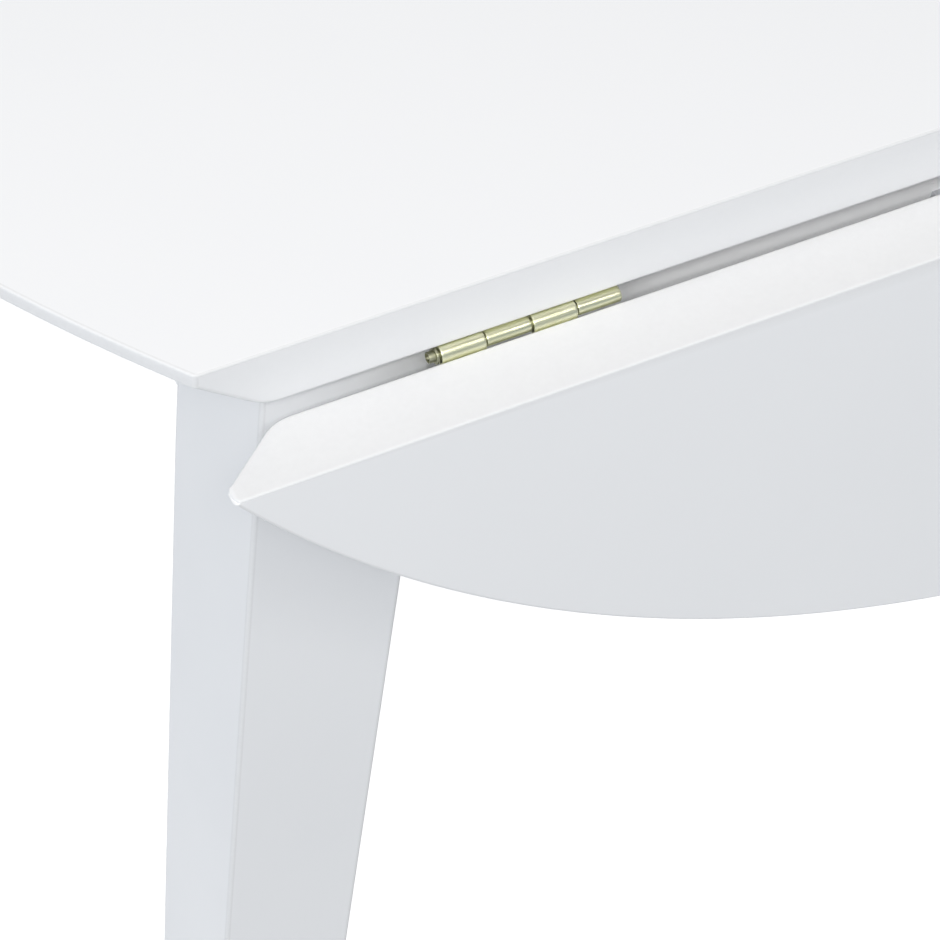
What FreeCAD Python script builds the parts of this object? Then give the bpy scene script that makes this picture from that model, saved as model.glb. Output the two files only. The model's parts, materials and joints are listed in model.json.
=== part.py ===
"""Round drop-leaf dining table, in millimetres.

A fixed centre panel stands on four tapered legs and an apron frame. A leaf hangs from each long
edge of the panel on two brass butt hinges. Two folding steel stays per leaf hold it up when it is
raised. The origin is on the floor under the middle of the table, +X runs along the hinges and +Z is up.
"""
import FreeCAD, Part
import math
import os
import re
import Sketcher
from FreeCAD import Placement, Rotation, Vector

SIZES = {
    # Top and leaves
    "table_height": 750.0,
    "top_diameter": 900.0,
    "centre_width": 550.0,
    "top_thickness": 18.0,
    "rim_thickness": 4.0,
    "bevel_run": 14.0,
    "bevel_blend": 8.0,
    "arris_round": 0.6,
    "joint_gap": 0.3,
    # Legs and foot glides
    "leg_top": 44.0,
    "leg_foot": 32.0,
    "leg_end_inset": 22.5,
    "leg_side_inset": 10.5,
    "leg_chamfer": 14.0,
    "leg_round": 1.0,
    "glide_height": 4.0,
    "glide_radius": 12.0,
    "glide_bevel": 1.5,
    "glide_stem_radius": 2.5,
    "glide_stem_length": 14.0,
    # Apron frame
    "apron_height": 75.0,
    "apron_thickness": 20.0,
    "apron_setback": 8.0,
    # Corner plates with their bolts
    "corner_plate_thickness": 2.0,
    "corner_plate_height": 44.0,
    "corner_plate_wing": 26.0,
    "corner_screw_share": 0.25,
    "corner_bolt_gap": 25.0,
    "corner_bolt_radius": 4.0,
    "corner_bolt_grip": 30.0,
    "corner_bolt_tail": 14.0,
    "corner_nut_flats": 13.0,
    "corner_nut_height": 6.5,
    "washer_radius": 8.5,
    "washer_thickness": 1.6,
    # Angle brackets under the top
    "angle_leg": 22.0,
    "angle_width": 16.0,
    "angle_thickness": 2.0,
    "angle_spread": 170.0,
    "angle_screw_share": 0.66,
    # Butt hinges
    "hinge_length": 48.0,
    "hinge_end_distance": 61.0,
    "hinge_plate_width": 10.0,
    "hinge_plate_thickness": 1.2,
    "barrel_radius": 2.35,
    "barrel_clearance": 0.15,
    "hinge_pin_radius": 1.2,
    "pin_head_radius": 2.1,
    "pin_head_length": 2.2,
    "knuckle_gap": 0.5,
    "notch_gap": 0.5,
    "hinge_screw_spread": 28.0,
    # Leaf stays
    "stay_share": 0.416,
    "stay_standoff": 7.4,
    "stay_anchor_drop": 40.0,
    "stay_leaf_reach": 80.0,
    "stay_leaf_standoff": 7.8,
    "stay_elbow_drop": 110.0,
    "stay_elbow_inset": 12.0,
    "stay_arm_width": 9.0,
    "stay_arm_thickness": 2.0,
    "stay_rivet_radius": 2.0,
    "stay_head_radius": 3.6,
    "stay_head_height": 1.2,
    "stay_plate_thickness": 2.0,
    "stay_plate_length": 22.0,
    "stay_plate_height": 26.0,
    "stay_screw_share": 0.25,
    "stay_screw_inset": 13.2,
    "stay_tab_margin": 1.0,
    "stay_side_gap": 0.3,
    # Rubber leaf stops
    "stop_radius": 6.0,
    "stop_share": 0.764,
    "stop_drop": 48.0,
    "stop_clearance": 0.3,
    "stop_stem_radius": 2.0,
    "stop_stem_length": 10.0,
    # Countersunk wood screws
    "screw_head_radius": 2.7,
    "screw_shank_radius": 1.3,
    "screw_length": 11.0,
    "screw_slot_width": 0.7,
    "screw_slot_depth": 0.5,
    # Fits
    "running_clearance": 0.05,
    "pilot_clearance": 0.05,
}

PLACES = {
    # Overall
    "top_radius": "top_diameter / 2",
    "half_width": "centre_width / 2",
    "half_chord": "sqrt(top_radius * top_radius - half_width * half_width)",
    "underside": "table_height - top_thickness",
    # Hinge pin line of the front leaf, measured outward from the middle and up from the floor
    "pin_drop": "barrel_radius + barrel_clearance",
    "pin_y": "half_width + joint_gap / 2",
    "pin_z": "underside - pin_drop",
    "knuckle_pitch": "hinge_length / 4",
    "hinge_x": "half_chord - hinge_end_distance - hinge_length / 2",
    # Legs and aprons: outer faces, inner faces and half lengths
    "leg_x": "half_chord - leg_end_inset",
    "leg_y": "half_width - leg_side_inset",
    "apron_base": "underside - apron_height",
    "apron_inner": "apron_setback + apron_thickness",
    "long_apron_y": "leg_y - apron_setback",
    "short_apron_x": "leg_x - apron_setback",
    "long_apron_half": "leg_x - leg_top",
    "short_apron_half": "leg_y - leg_top",
    # Corner plates, in a corner's own frame
    "corner_sum": "2 * leg_top - leg_chamfer + corner_bolt_gap * sqrt(2)",
    "corner_back_sum": "corner_sum + corner_plate_thickness * sqrt(2)",
    "corner_back": "apron_inner + corner_plate_thickness",
    "corner_wing_end": "corner_sum - apron_inner + corner_plate_wing",
    "corner_z": "underside - apron_height / 2",
    "corner_face": "leg_top - leg_chamfer / 2",
    "corner_screw_lift": "corner_screw_share * corner_plate_height",
    # Angle brackets: the screws' distance from the corner
    "angle_screw": "angle_screw_share * angle_leg",
    # Stays, measured from the pin line: inward and up
    "apron_face": "pin_y - long_apron_y",
    "anchor_y": "apron_face - stay_standoff",
    "leaf_pivot_z": "pin_drop - stay_leaf_standoff",
    "long_arm_x": "stay_plate_thickness + stay_side_gap",
    "short_arm_x": "long_arm_x + stay_arm_thickness + stay_side_gap",
    "leaf_tab_x": "short_arm_x + stay_arm_thickness + stay_side_gap",
    "stay_x": "stay_share * long_apron_half",
    "tab_radius": "stay_arm_width / 2 + stay_tab_margin",
    "stay_screw_lift": "stay_screw_share * stay_plate_height",
    # Leaf stops and screws
    "stop_x": "stop_share * long_apron_half",
    "stop_length": "apron_face + pin_drop - stop_clearance",
    "screw_head_height": "screw_head_radius - screw_shank_radius",
    "pilot_radius": "screw_shank_radius + pilot_clearance",
    "sink_radius": "screw_head_radius + pilot_clearance",
}

CORNERS = {"front_left": 0, "front_right": 90, "rear_right": 180, "rear_left": 270}
SIDES = {"front": 0, "rear": 180}
ENDS = {"left": -1, "right": 1}
LEAF_KNUCKLES = (0, 2)
TABLE_KNUCKLES = (1, 3)
SAME_PLACE = 0.01
STEEP_SHARE = 0.9
X_AXIS = Vector(1, 0, 0)
Z_AXIS = Vector(0, 0, 1)
TURNS = {
    "+x": Rotation(Vector(0, 1, 0), 90),
    "-x": Rotation(Vector(0, 1, 0), -90),
    "+y": Rotation(X_AXIS, -90),
    "-y": Rotation(X_AXIS, 90),
    "+z": Rotation(),
    "-z": Rotation(X_AXIS, 180),
}

doc = FreeCAD.newDocument("drop_leaf_table")
nodes = {}


def bind(text):
    """Write an expression on plain size names as one on the two sheets' cells."""
    def cell(match):
        word = match.group(0)
        if word in SIZES:
            return "Sizes." + word
        if word in PLACES:
            return "Places." + word
        return word
    return re.sub(r"[A-Za-z_]\w*", cell, str(text))


def fill_sheet(name, rows):
    """Make a sheet with one named cell per row."""
    sheet = doc.addObject("Spreadsheet::Sheet", name)
    for row, (alias, content) in enumerate(rows.items(), start=1):
        sheet.set(f"A{row}", alias)
        sheet.set(f"B{row}", content)
        sheet.setAlias(f"B{row}", alias)
    doc.recompute()
    return sheet


sizes = fill_sheet("Sizes", {alias: str(number) for alias, number in SIZES.items()})
places = fill_sheet("Places", {alias: "=" + bind(text) for alias, text in PLACES.items()})


def value(alias):
    """Read one cell as a number."""
    sheet = sizes if alias in SIZES else places
    return float(sheet.get(alias))


# Building blocks

def put(piece, at):
    """Bind the place of a piece to three expressions."""
    for axis, text in zip("xyz", at):
        piece.setExpression(f"Placement.Base.{axis}", bind(text))
    return piece


def box(name, at, size):
    """A block from its lowest corner."""
    piece = doc.addObject("Part::Box", name)
    for side, text in zip(("Length", "Width", "Height"), size):
        piece.setExpression(side, bind(text))
    return put(piece, at)


def rod(name, at, direction, radius, length):
    """A round bar that starts at a point and runs along a direction."""
    piece = doc.addObject("Part::Cylinder", name)
    piece.setExpression("Radius", bind(radius))
    piece.setExpression("Height", bind(length))
    piece.Placement = Placement(Vector(), TURNS[direction])
    return put(piece, at)


def cone(name, at, direction, radius, end_radius, length):
    """A round bar whose radius changes along its length."""
    piece = doc.addObject("Part::Cone", name)
    piece.setExpression("Radius1", bind(radius))
    piece.setExpression("Radius2", bind(end_radius))
    piece.setExpression("Height", bind(length))
    piece.Placement = Placement(Vector(), TURNS[direction])
    return put(piece, at)


def join(name, pieces):
    """One solid from pieces that meet."""
    result = doc.addObject("Part::MultiFuse", name)
    result.Shapes = pieces
    result.Refine = True
    return result


def group(name, pieces, frame=Placement()):
    """Separate solids kept together, set in a frame."""
    result = doc.addObject("Part::Compound", name)
    result.Links = pieces
    result.Placement = frame
    return result


def cut(name, base, tools):
    """A piece with other pieces taken out of it."""
    result = doc.addObject("Part::Cut", name)
    result.Base = base
    result.Tool = tools[0] if len(tools) == 1 else group(name + "_cuts", tools)
    result.Refine = True
    return result


def rounded(name, base, radius, wanted):
    """A piece with the edges that pass the test rounded."""
    doc.recompute()
    result = doc.addObject("Part::Fillet", name)
    result.Base = base
    picked = [index for index, edge in enumerate(base.Shape.Edges, start=1) if wanted(edge)]
    result.Edges = [(index, radius, radius) for index in picked]
    return result


def outline(body, plane, points):
    """A closed sketch of straight lines on one of a body's planes, each corner bound to two expressions."""
    sketch = body.newObject("Sketcher::SketchObject", body.Name + "_outline")
    support = [item for item in body.Origin.OriginFeatures if item.Role == plane][0]
    sketch.AttachmentSupport = [(support, "")]
    sketch.MapMode = "FlatFace"
    count = len(points)
    for index in range(count):
        here, there = Vector(index, index * index, 0), Vector(index + 1, (index + 1) ** 2, 0)
        sketch.addGeometry(Part.LineSegment(here, there), False)
    for index in range(count):
        sketch.addConstraint(Sketcher.Constraint("Coincident", index, 2, (index + 1) % count, 1))
    for index, pair in enumerate(points):
        for kind, text in zip(("DistanceX", "DistanceY"), pair):
            number = sketch.addConstraint(Sketcher.Constraint(kind, -1, 1, index, 1, 1.0))
            sketch.setExpression(f"Constraints[{number}]", bind(text))
    return sketch


def padded(name, plane, points, height):
    """A body made by padding a closed outline."""
    body = doc.addObject("PartDesign::Body", name)
    pad = body.newObject("PartDesign::Pad", name + "_pad")
    pad.Profile = outline(body, plane, points)
    pad.setExpression("Length", bind(height))
    return body


def keep(name, piece, frame=None):
    """Name a finished piece as a node, in its frame where one is given."""
    piece.Label = name
    if frame is not None:
        piece.Placement = frame
    nodes[name] = piece
    return piece


# Frames

def side_frame(side):
    """Turn a piece of the front half to its place on one side of the table."""
    return Placement(Vector(), Rotation(Z_AXIS, SIDES[side]))


def hung_frame(side):
    """Swing a piece of a level front leaf down about the pin line, then turn it to its side."""
    pin = Vector(0, -value("pin_y"), value("pin_z"))
    return side_frame(side) * Placement(Vector(), Rotation(X_AXIS, 90), pin)


def pin_frame(end_x):
    """A frame on the front pin line at a distance along it."""
    return Placement(Vector(end_x, -value("pin_y"), value("pin_z")), Rotation())


def along(side, end):
    """The sign along X of one end of a side, before the side's turn."""
    return ENDS[end] if side == "front" else -ENDS[end]


def corner_frame(corner):
    """A frame at a leg's outer corner on the floor, with +X and +Y pointing inward."""
    x_sign = 1 if "right" in corner else -1
    y_sign = 1 if "rear" in corner else -1
    place = Vector(x_sign * value("leg_x"), y_sign * value("leg_y"), 0)
    return Placement(place, Rotation(Z_AXIS, CORNERS[corner]))


# Screws

def screw(name, at, direction):
    """A slotted countersunk screw whose head is flush at a point and whose shank runs along a direction."""
    head = cone(name + "_head", at, direction, "screw_head_radius", "screw_shank_radius", "screw_head_height")
    shank = rod(name + "_shank", at, direction, "screw_shank_radius", "screw_length")
    blank = join(name + "_blank", [head, shank])
    depth, width, length = "screw_slot_depth", "screw_slot_width", "2 * screw_head_radius"
    long_axis = "x" if "x" not in direction else "z"
    spans = []
    starts = []
    for axis, place in zip("xyz", at):
        if axis in direction:
            spans.append(f"2 * {depth}")
            starts.append(f"{place} - {depth}")
        else:
            span = length if axis == long_axis else width
            spans.append(span)
            starts.append(f"{place} - ({span}) / 2")
    return cut(name, blank, [box(name + "_slot", starts, spans)])


def seat(name, at, direction):
    """The countersunk hole that a screw needs in a plate and in the wood behind it."""
    head = cone(name + "_sink", at, direction, "sink_radius", "pilot_radius", "screw_head_height")
    hole = rod(name + "_hole", at, direction, "pilot_radius", "screw_length + pilot_clearance")
    return join(name, [head, hole])


# Top and leaves

def disc(name):
    """The whole round top: a flat slab whose underside slopes up to a thin rim."""
    body = doc.addObject("PartDesign::Body", name)
    turn = body.newObject("PartDesign::Revolution", name + "_turn")
    sketch = outline(body, "XZ_Plane", [
        ("0", "underside"),
        ("top_radius - bevel_run", "underside"),
        ("top_radius", "table_height - rim_thickness"),
        ("top_radius", "table_height"),
        ("0", "table_height"),
    ])
    turn.Profile = sketch
    turn.ReferenceAxis = (sketch, ["V_Axis"])
    turn.Angle = 360
    doc.recompute()
    knee = value("top_radius") - value("bevel_run")
    edges = turn.Shape.Edges
    blend = body.newObject("PartDesign::Fillet", name + "_blend")
    rings = [index for index, edge in enumerate(edges, 1) if is_ring(edge, knee, value("underside"))]
    blend.Base = (turn, [f"Edge{index}" for index in rings])
    blend.setExpression("Radius", bind("bevel_blend"))
    doc.recompute()
    return body


def is_ring(edge, radius, height):
    """Whether an edge is a level circle of a radius at a height."""
    if not isinstance(edge.Curve, Part.Circle):
        return False
    return abs(edge.Curve.Radius - radius) < SAME_PLACE and abs(edge.Curve.Center.z - height) < SAME_PLACE


def board_arrises(offset):
    """A test for the arrises of a board whose joint edge is at a distance from the middle."""
    rim_heights = (value("table_height") - value("rim_thickness"), value("table_height"))

    def wanted(edge):
        if any(is_ring(edge, value("top_radius"), height) for height in rim_heights):
            return True
        ends = [vertex.Point for vertex in edge.Vertexes]
        on_joint = len(ends) == 2 and all(abs(abs(end.y) - offset) < SAME_PLACE for end in ends)
        return on_joint and isinstance(edge.Curve, Part.Line) and edge.Length > value("top_thickness")
    return wanted


def hinge_screw_points(sign):
    """Places of a hinge plate's screws, from the hinge's middle on the pin line."""
    middle = f"{sign} * (barrel_radius + notch_gap + hinge_plate_width) / 2"
    height = "pin_drop - hinge_plate_thickness"
    return [(f"{end} * hinge_screw_spread / 2", middle, height) for end in (-1, 1)]


def make_top():
    """The fixed centre panel, with pilot holes for the hinges and the angle brackets."""
    slab = doc.addObject("Part::Common", "centre_slab")
    slab.Base = disc("centre_disc")
    slab.Tool = box("centre_strip", ("-top_radius", "-half_width", "0"),
                    ("top_diameter", "centre_width", "2 * table_height"))
    panel = rounded("centre_rounded", slab, value("arris_round"), board_arrises(value("half_width")))
    holes = []
    for side in SIDES:
        for end in ENDS:
            drills = [seat(f"{side}_{end}_hinge_pilot_{index}", at, "+z")
                      for index, at in enumerate(hinge_screw_points(1))]
            frame = side_frame(side) * pin_frame(along(side, end) * value("hinge_x"))
            holes.append(group(f"{side}_{end}_hinge_pilots", drills, frame))
    for name, frame in angle_frames().items():
        drill = seat(name + "_top_pilot", ANGLE_TOP_SCREW, "+z")
        holes.append(group(name + "_top_pilot_set", [drill], frame))
    keep("centre_top", cut("centre_panel", panel, holes))


def make_leaf(side):
    """One drop leaf, shaped level and then hung from its pins."""
    slab = doc.addObject("Part::Common", side + "_leaf_slab")
    slab.Base = disc(side + "_leaf_disc")
    slab.Tool = box(side + "_leaf_strip", ("-top_radius", "-top_radius", "0"),
                    ("top_diameter", "top_radius - half_width - joint_gap", "2 * table_height"))
    edge = value("half_width") + value("joint_gap")
    leaf = rounded(side + "_leaf_rounded", slab, value("arris_round"), board_arrises(edge))
    holes = []
    for end in ENDS:
        sign = along(side, end)
        drills = [seat(f"{side}_{end}_leaf_pilot_{index}", at, "+z")
                  for index, at in enumerate(hinge_screw_points(-1))]
        holes.append(group(f"{side}_{end}_leaf_pilots", drills, pin_frame(sign * value("hinge_x"))))
        drills = [seat(f"{side}_{end}_leaf_stay_pilot_{index}", at, "+z")
                  for index, at in enumerate(LEAF_BRACKET_SCREWS)]
        holes.append(group(f"{side}_{end}_leaf_stay_pilots", drills, pin_frame(sign * value("stay_x"))))
    keep(side + "_leaf", cut(side + "_leaf_panel", leaf, holes), hung_frame(side))


# Legs, glides and aprons

def upright(edge):
    """Whether an edge runs mostly up."""
    ends = [vertex.Point for vertex in edge.Vertexes]
    return len(ends) == 2 and abs(ends[1].z - ends[0].z) > STEEP_SHARE * edge.Length


def make_leg(corner):
    """A leg with a square head and two inner faces that taper to the foot, and its glide."""
    name = "leg_" + corner
    head = box(name + "_head", ("0", "0", "apron_base"), ("leg_top", "leg_top", "apron_height"))
    taper = doc.addObject("Part::Wedge", name + "_taper")
    for side, text in {"Xmin": "0", "X2min": "0", "Zmin": "-leg_foot", "Z2min": "-leg_top",
                       "Xmax": "leg_foot", "X2max": "leg_top", "Zmax": "0", "Z2max": "0",
                       "Ymin": "glide_height", "Ymax": "apron_base"}.items():
        taper.setExpression(side, bind(text))
    taper.Placement = Placement(Vector(), TURNS["-y"])
    blank = join(name + "_blank", [
        rounded(name + "_head_rounded", head, value("leg_round"), upright),
        rounded(name + "_taper_rounded", taper, value("leg_round"), upright),
    ])
    half = "leg_chamfer / sqrt(2)"
    facet = box(name + "_facet", (f"corner_face - {half}", f"corner_face + {half}", "apron_base"),
                ("2 * leg_chamfer", "2 * leg_chamfer", "apron_height"))
    facet.Placement = Placement(facet.Placement.Base, Rotation(Z_AXIS, -45))
    bolt_hole = slanted(rod(name + "_bolt_hole", *BOLT, "corner_bolt_radius + pilot_clearance", BOLT_LENGTH))
    middle = ("leg_foot / 2", "leg_foot / 2")
    stem_hole = rod(name + "_stem_hole", (*middle, "0"), "+z", "glide_stem_radius + pilot_clearance",
                    "glide_height + glide_stem_length + pilot_clearance")
    keep(name, cut(name, blank, [facet, bolt_hole, stem_hole]), corner_frame(corner))
    foot = cone(name + "_glide_foot", (*middle, "0"), "+z",
                "glide_radius - glide_bevel", "glide_radius", "glide_height")
    stem = rod(name + "_glide_stem", (*middle, "0"), "+z",
               "glide_stem_radius", "glide_height + glide_stem_length")
    keep("foot_glide_" + corner, join(name + "_glide", [foot, stem]), corner_frame(corner))


def slanted(piece):
    """Turn a level piece that lies along X onto the corner's diagonal."""
    piece.Placement = Placement(piece.Placement.Base, Rotation(Z_AXIS, 45) * piece.Placement.Rotation)
    return piece


BOLT_START = "corner_face - corner_bolt_grip / sqrt(2)"
BOLT = ((BOLT_START, BOLT_START, "corner_z"), "+x")
BOLT_LENGTH = "corner_bolt_grip + corner_bolt_gap + corner_plate_thickness + corner_bolt_tail"


def along_bolt(distance):
    """A point on a corner's bolt at a distance inward from the leg's facet."""
    side = f"corner_face + ({distance}) / sqrt(2)"
    return (side, side, "corner_z")


def corner_screw_points():
    """Places and directions of a corner plate's screws into the two aprons."""
    middle = "corner_wing_end - corner_plate_wing / 2"
    for lift in (-1, 1):
        height = f"corner_z + {lift} * corner_screw_lift"
        yield (middle, "corner_back", height), "-y"
        yield ("corner_back", middle, height), "-x"


def make_corners():
    """The steel plate, bolt, washer and nut that pull each leg into its corner of the apron frame."""
    bolts = []
    fasteners = []
    screws = []
    for corner in CORNERS:
        frame = corner_frame(corner)
        plate = padded("corner_plate_" + corner + "_strip", "XY_Plane", [
            ("corner_wing_end", "apron_inner"),
            ("corner_wing_end", "corner_back"),
            ("corner_back_sum - corner_back", "corner_back"),
            ("corner_back", "corner_back_sum - corner_back"),
            ("corner_back", "corner_wing_end"),
            ("apron_inner", "corner_wing_end"),
            ("apron_inner", "corner_sum - apron_inner"),
            ("corner_sum - apron_inner", "apron_inner"),
        ], "corner_plate_height")
        put(plate, ("0", "0", "corner_z - corner_plate_height / 2"))
        bolt_hole = rod(corner + "_plate_bolt_hole", *BOLT,
                        "corner_bolt_radius + pilot_clearance", BOLT_LENGTH)
        sinks = [seat(f"{corner}_plate_sink_{index}", at, direction)
                 for index, (at, direction) in enumerate(corner_screw_points())]
        keep("corner_plate_" + corner, cut(corner + "_plate", plate, [slanted(bolt_hole)] + sinks), frame)
        bolt = slanted(rod(corner + "_bolt", *BOLT, "corner_bolt_radius", BOLT_LENGTH))
        bolts.append(group(corner + "_bolt_set", [bolt], frame))
        plate_face = "corner_bolt_gap + corner_plate_thickness"
        ring = slanted(rod(corner + "_washer_ring", along_bolt(plate_face), "+x",
                           "washer_radius", "washer_thickness"))
        nut = doc.addObject("Part::Prism", corner + "_nut_blank")
        nut.Polygon = 6
        nut.setExpression("Circumradius", bind("corner_nut_flats / sqrt(3)"))
        nut.setExpression("Height", bind("corner_nut_height"))
        nut.Placement = Placement(Vector(), TURNS["+x"])
        slanted(put(nut, along_bolt(plate_face + " + washer_thickness")))
        pair = []
        for kind, blank in (("washer", ring), ("nut", nut)):
            bore = rod(f"{corner}_{kind}_bore", *BOLT, "corner_bolt_radius + running_clearance", BOLT_LENGTH)
            pair.append(cut(f"{corner}_{kind}", blank, [slanted(bore)]))
        fasteners.append(group(corner + "_nut_set", pair, frame))
        set_of_four = [screw(f"{corner}_plate_screw_{index}", at, direction)
                       for index, (at, direction) in enumerate(corner_screw_points())]
        screws.append(group(corner + "_plate_screws", set_of_four, frame))
    keep("corner_bolts", group("corner_bolts", bolts))
    keep("corner_nuts_and_washers", group("corner_nuts_and_washers", fasteners))
    keep("corner_plate_screws", group("corner_plate_screws", screws))


def corner_pilots(apron):
    """The pilot holes that the corner plates' screws need in one apron."""
    holes = []
    for corner in CORNERS:
        if apron in corner:
            drills = [seat(f"{apron}_{corner}_pilot_{index}", at, direction)
                      for index, (at, direction) in enumerate(corner_screw_points())]
            holes.append(group(f"{apron}_{corner}_pilots", drills, corner_frame(corner)))
    return holes


def make_aprons():
    """The two long and the two short aprons between the legs."""
    for side, sign in (("front", -1), ("rear", 1)):
        outer = "-long_apron_y" if sign < 0 else "long_apron_y - apron_thickness"
        board = box(side + "_apron_board", ("-long_apron_half", outer, "apron_base"),
                    ("2 * long_apron_half", "apron_thickness", "apron_height"))
        holes = corner_pilots(side)
        for end in ENDS:
            drills = [seat(f"{side}_{end}_apron_stay_pilot_{index}", at, "+y")
                      for index, at in enumerate(APRON_BRACKET_SCREWS)]
            frame = side_frame(side) * pin_frame(along(side, end) * value("stay_x"))
            holes.append(group(f"{side}_{end}_apron_stay_pilots", drills, frame))
            stem = rod(f"{side}_{end}_stop_hole", ("0", "apron_face", "-stop_drop"), "+y",
                       "stop_stem_radius + pilot_clearance", "stop_stem_length + pilot_clearance")
            frame = side_frame(side) * pin_frame(along(side, end) * value("stop_x"))
            holes.append(group(f"{side}_{end}_stop_holes", [stem], frame))
        keep(side + "_apron", cut(side + "_apron", board, holes + angle_pilots(side)))
    for end, sign in ENDS.items():
        outer = "-short_apron_x" if sign < 0 else "short_apron_x - apron_thickness"
        board = box(end + "_apron_board", (outer, "-short_apron_half", "apron_base"),
                    ("apron_thickness", "2 * short_apron_half", "apron_height"))
        keep(end + "_apron", cut(end + "_apron", board, corner_pilots(end) + angle_pilots(end)))


# Angle brackets that hold the top on the aprons

ANGLE_TOP_SCREW = ("0", "angle_screw", "-angle_thickness")
ANGLE_APRON_SCREW = ("0", "angle_thickness", "-angle_screw")


def angle_frames():
    """Frames on the aprons' inner faces under the top, with +Y pointing inward."""
    frames = {}
    inset = value("apron_thickness")
    for side in SIDES:
        for end in ENDS:
            reach = along(side, end) * value("angle_spread") / 2
            spot = Vector(reach, -value("long_apron_y") + inset, value("underside"))
            frames[f"{side}_{end}_angle"] = side_frame(side) * Placement(spot, Rotation())
    for end, turn in (("left", -90), ("right", 90)):
        spot = Vector(0, -value("short_apron_x") + inset, value("underside"))
        frames[end + "_angle"] = Placement(Vector(), Rotation(Z_AXIS, turn)) * Placement(spot, Rotation())
    return frames


def angle_pilots(apron):
    """The pilot holes that the angle brackets need in one apron."""
    return [group(f"{name}_apron_pilot_set", [seat(f"{name}_apron_pilot", ANGLE_APRON_SCREW, "-y")], frame)
            for name, frame in angle_frames().items() if name.startswith(apron)]


def make_angles():
    """The angle brackets and their screws."""
    brackets = []
    screws = []
    for name, frame in angle_frames().items():
        start = "-angle_width / 2"
        wall = box(name + "_wall", (start, "0", "-angle_leg"),
                   ("angle_width", "angle_thickness", "angle_leg"))
        shelf = box(name + "_shelf", (start, "0", "-angle_thickness"),
                    ("angle_width", "angle_leg", "angle_thickness"))
        sinks = [seat(name + "_top_sink", ANGLE_TOP_SCREW, "+z"),
                 seat(name + "_apron_sink", ANGLE_APRON_SCREW, "-y")]
        bracket = cut(name, join(name + "_blank", [wall, shelf]), sinks)
        brackets.append(group(name + "_set", [bracket], frame))
        pair = [screw(name + "_top_screw", ANGLE_TOP_SCREW, "+z"),
                screw(name + "_apron_screw", ANGLE_APRON_SCREW, "-y")]
        screws.append(group(name + "_screws", pair, frame))
    keep("top_angle_brackets", group("top_angle_brackets", brackets))
    keep("top_angle_screws", group("top_angle_screws", screws))


# Butt hinges

def hinge_plate(name, sign, knuckles):
    """One plate of a hinge, centred on the pin: inward for a sign of 1, outward for -1."""
    start = "barrel_radius + notch_gap" if sign > 0 else "-hinge_plate_width"
    flat = box(name + "_flat", ("-hinge_length / 2", start, "pin_drop - hinge_plate_thickness"),
               ("hinge_length", "hinge_plate_width - barrel_radius - notch_gap", "hinge_plate_thickness"))
    solids = [flat]
    bores = []
    for index in knuckles:
        left = f"-hinge_length / 2 + {index} * knuckle_pitch + knuckle_gap / 2"
        span = "knuckle_pitch - knuckle_gap"
        reach = "0" if sign > 0 else "-barrel_radius - notch_gap"
        solids.append(rod(f"{name}_knuckle_{index}", (left, "0", "0"), "+x", "barrel_radius", span))
        solids.append(box(f"{name}_tongue_{index}", (left, reach, "pin_drop - hinge_plate_thickness"),
                          (span, "barrel_radius + notch_gap", "hinge_plate_thickness - barrel_clearance")))
        bores.append(rod(f"{name}_bore_{index}", (left, "0", "0"), "+x",
                         "hinge_pin_radius + running_clearance", span))
    sinks = [seat(f"{name}_sink_{index}", at, "+z") for index, at in enumerate(hinge_screw_points(sign))]
    return cut(name + "_plate", join(name + "_blank", solids), bores + sinks)


def hinge_pin(name):
    """A pin that fills the knuckles, with a round head at one end."""
    start = ("-hinge_length / 2 - knuckle_gap / 2", "0", "0")
    bar = rod(name + "_bar", start, "+x", "hinge_pin_radius", "hinge_length + knuckle_gap / 2")
    head = rod(name + "_head", start, "-x", "pin_head_radius", "pin_head_length")
    return join(name, [bar, head])


def hinge_screws(name, sign, frame):
    """The screws of one hinge plate, set in a frame."""
    pair = [screw(f"{name}_screw_{index}", at, "+z") for index, at in enumerate(hinge_screw_points(sign))]
    return group(name + "_screws", pair, frame)


def make_hinges():
    """The four hinges, each of two plates and a pin, and their screws."""
    table_screws = []
    for side in SIDES:
        leaf_screws = []
        for end in ENDS:
            name = f"{side}_{end}_hinge"
            local = pin_frame(along(side, end) * value("hinge_x"))
            table = side_frame(side) * local
            leaf = hung_frame(side) * local
            keep(name + "_table_plate", hinge_plate(name + "_table", 1, TABLE_KNUCKLES), table)
            keep(name + "_leaf_plate", hinge_plate(name + "_leaf", -1, LEAF_KNUCKLES), leaf)
            keep(name + "_pin", hinge_pin(name + "_pin"), table)
            table_screws.append(hinge_screws(name + "_table", 1, table))
            leaf_screws.append(hinge_screws(name + "_leaf", -1, leaf))
        keep(f"{side}_leaf_hinge_screws", group(f"{side}_leaf_hinge_screws", leaf_screws))
    keep("table_hinge_screws", group("table_hinge_screws", table_screws))


# Leaf stays

APRON_BRACKET_SCREWS = [("stay_plate_thickness - stay_screw_inset", "apron_face - stay_plate_thickness",
                         f"-stay_anchor_drop + {lift} * stay_screw_lift") for lift in (-1, 1)]
LEAF_BRACKET_SCREWS = [("leaf_tab_x + stay_screw_inset", f"-stay_leaf_reach + {shift} * stay_screw_lift",
                        "pin_drop - stay_plate_thickness") for shift in (-1, 1)]


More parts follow.
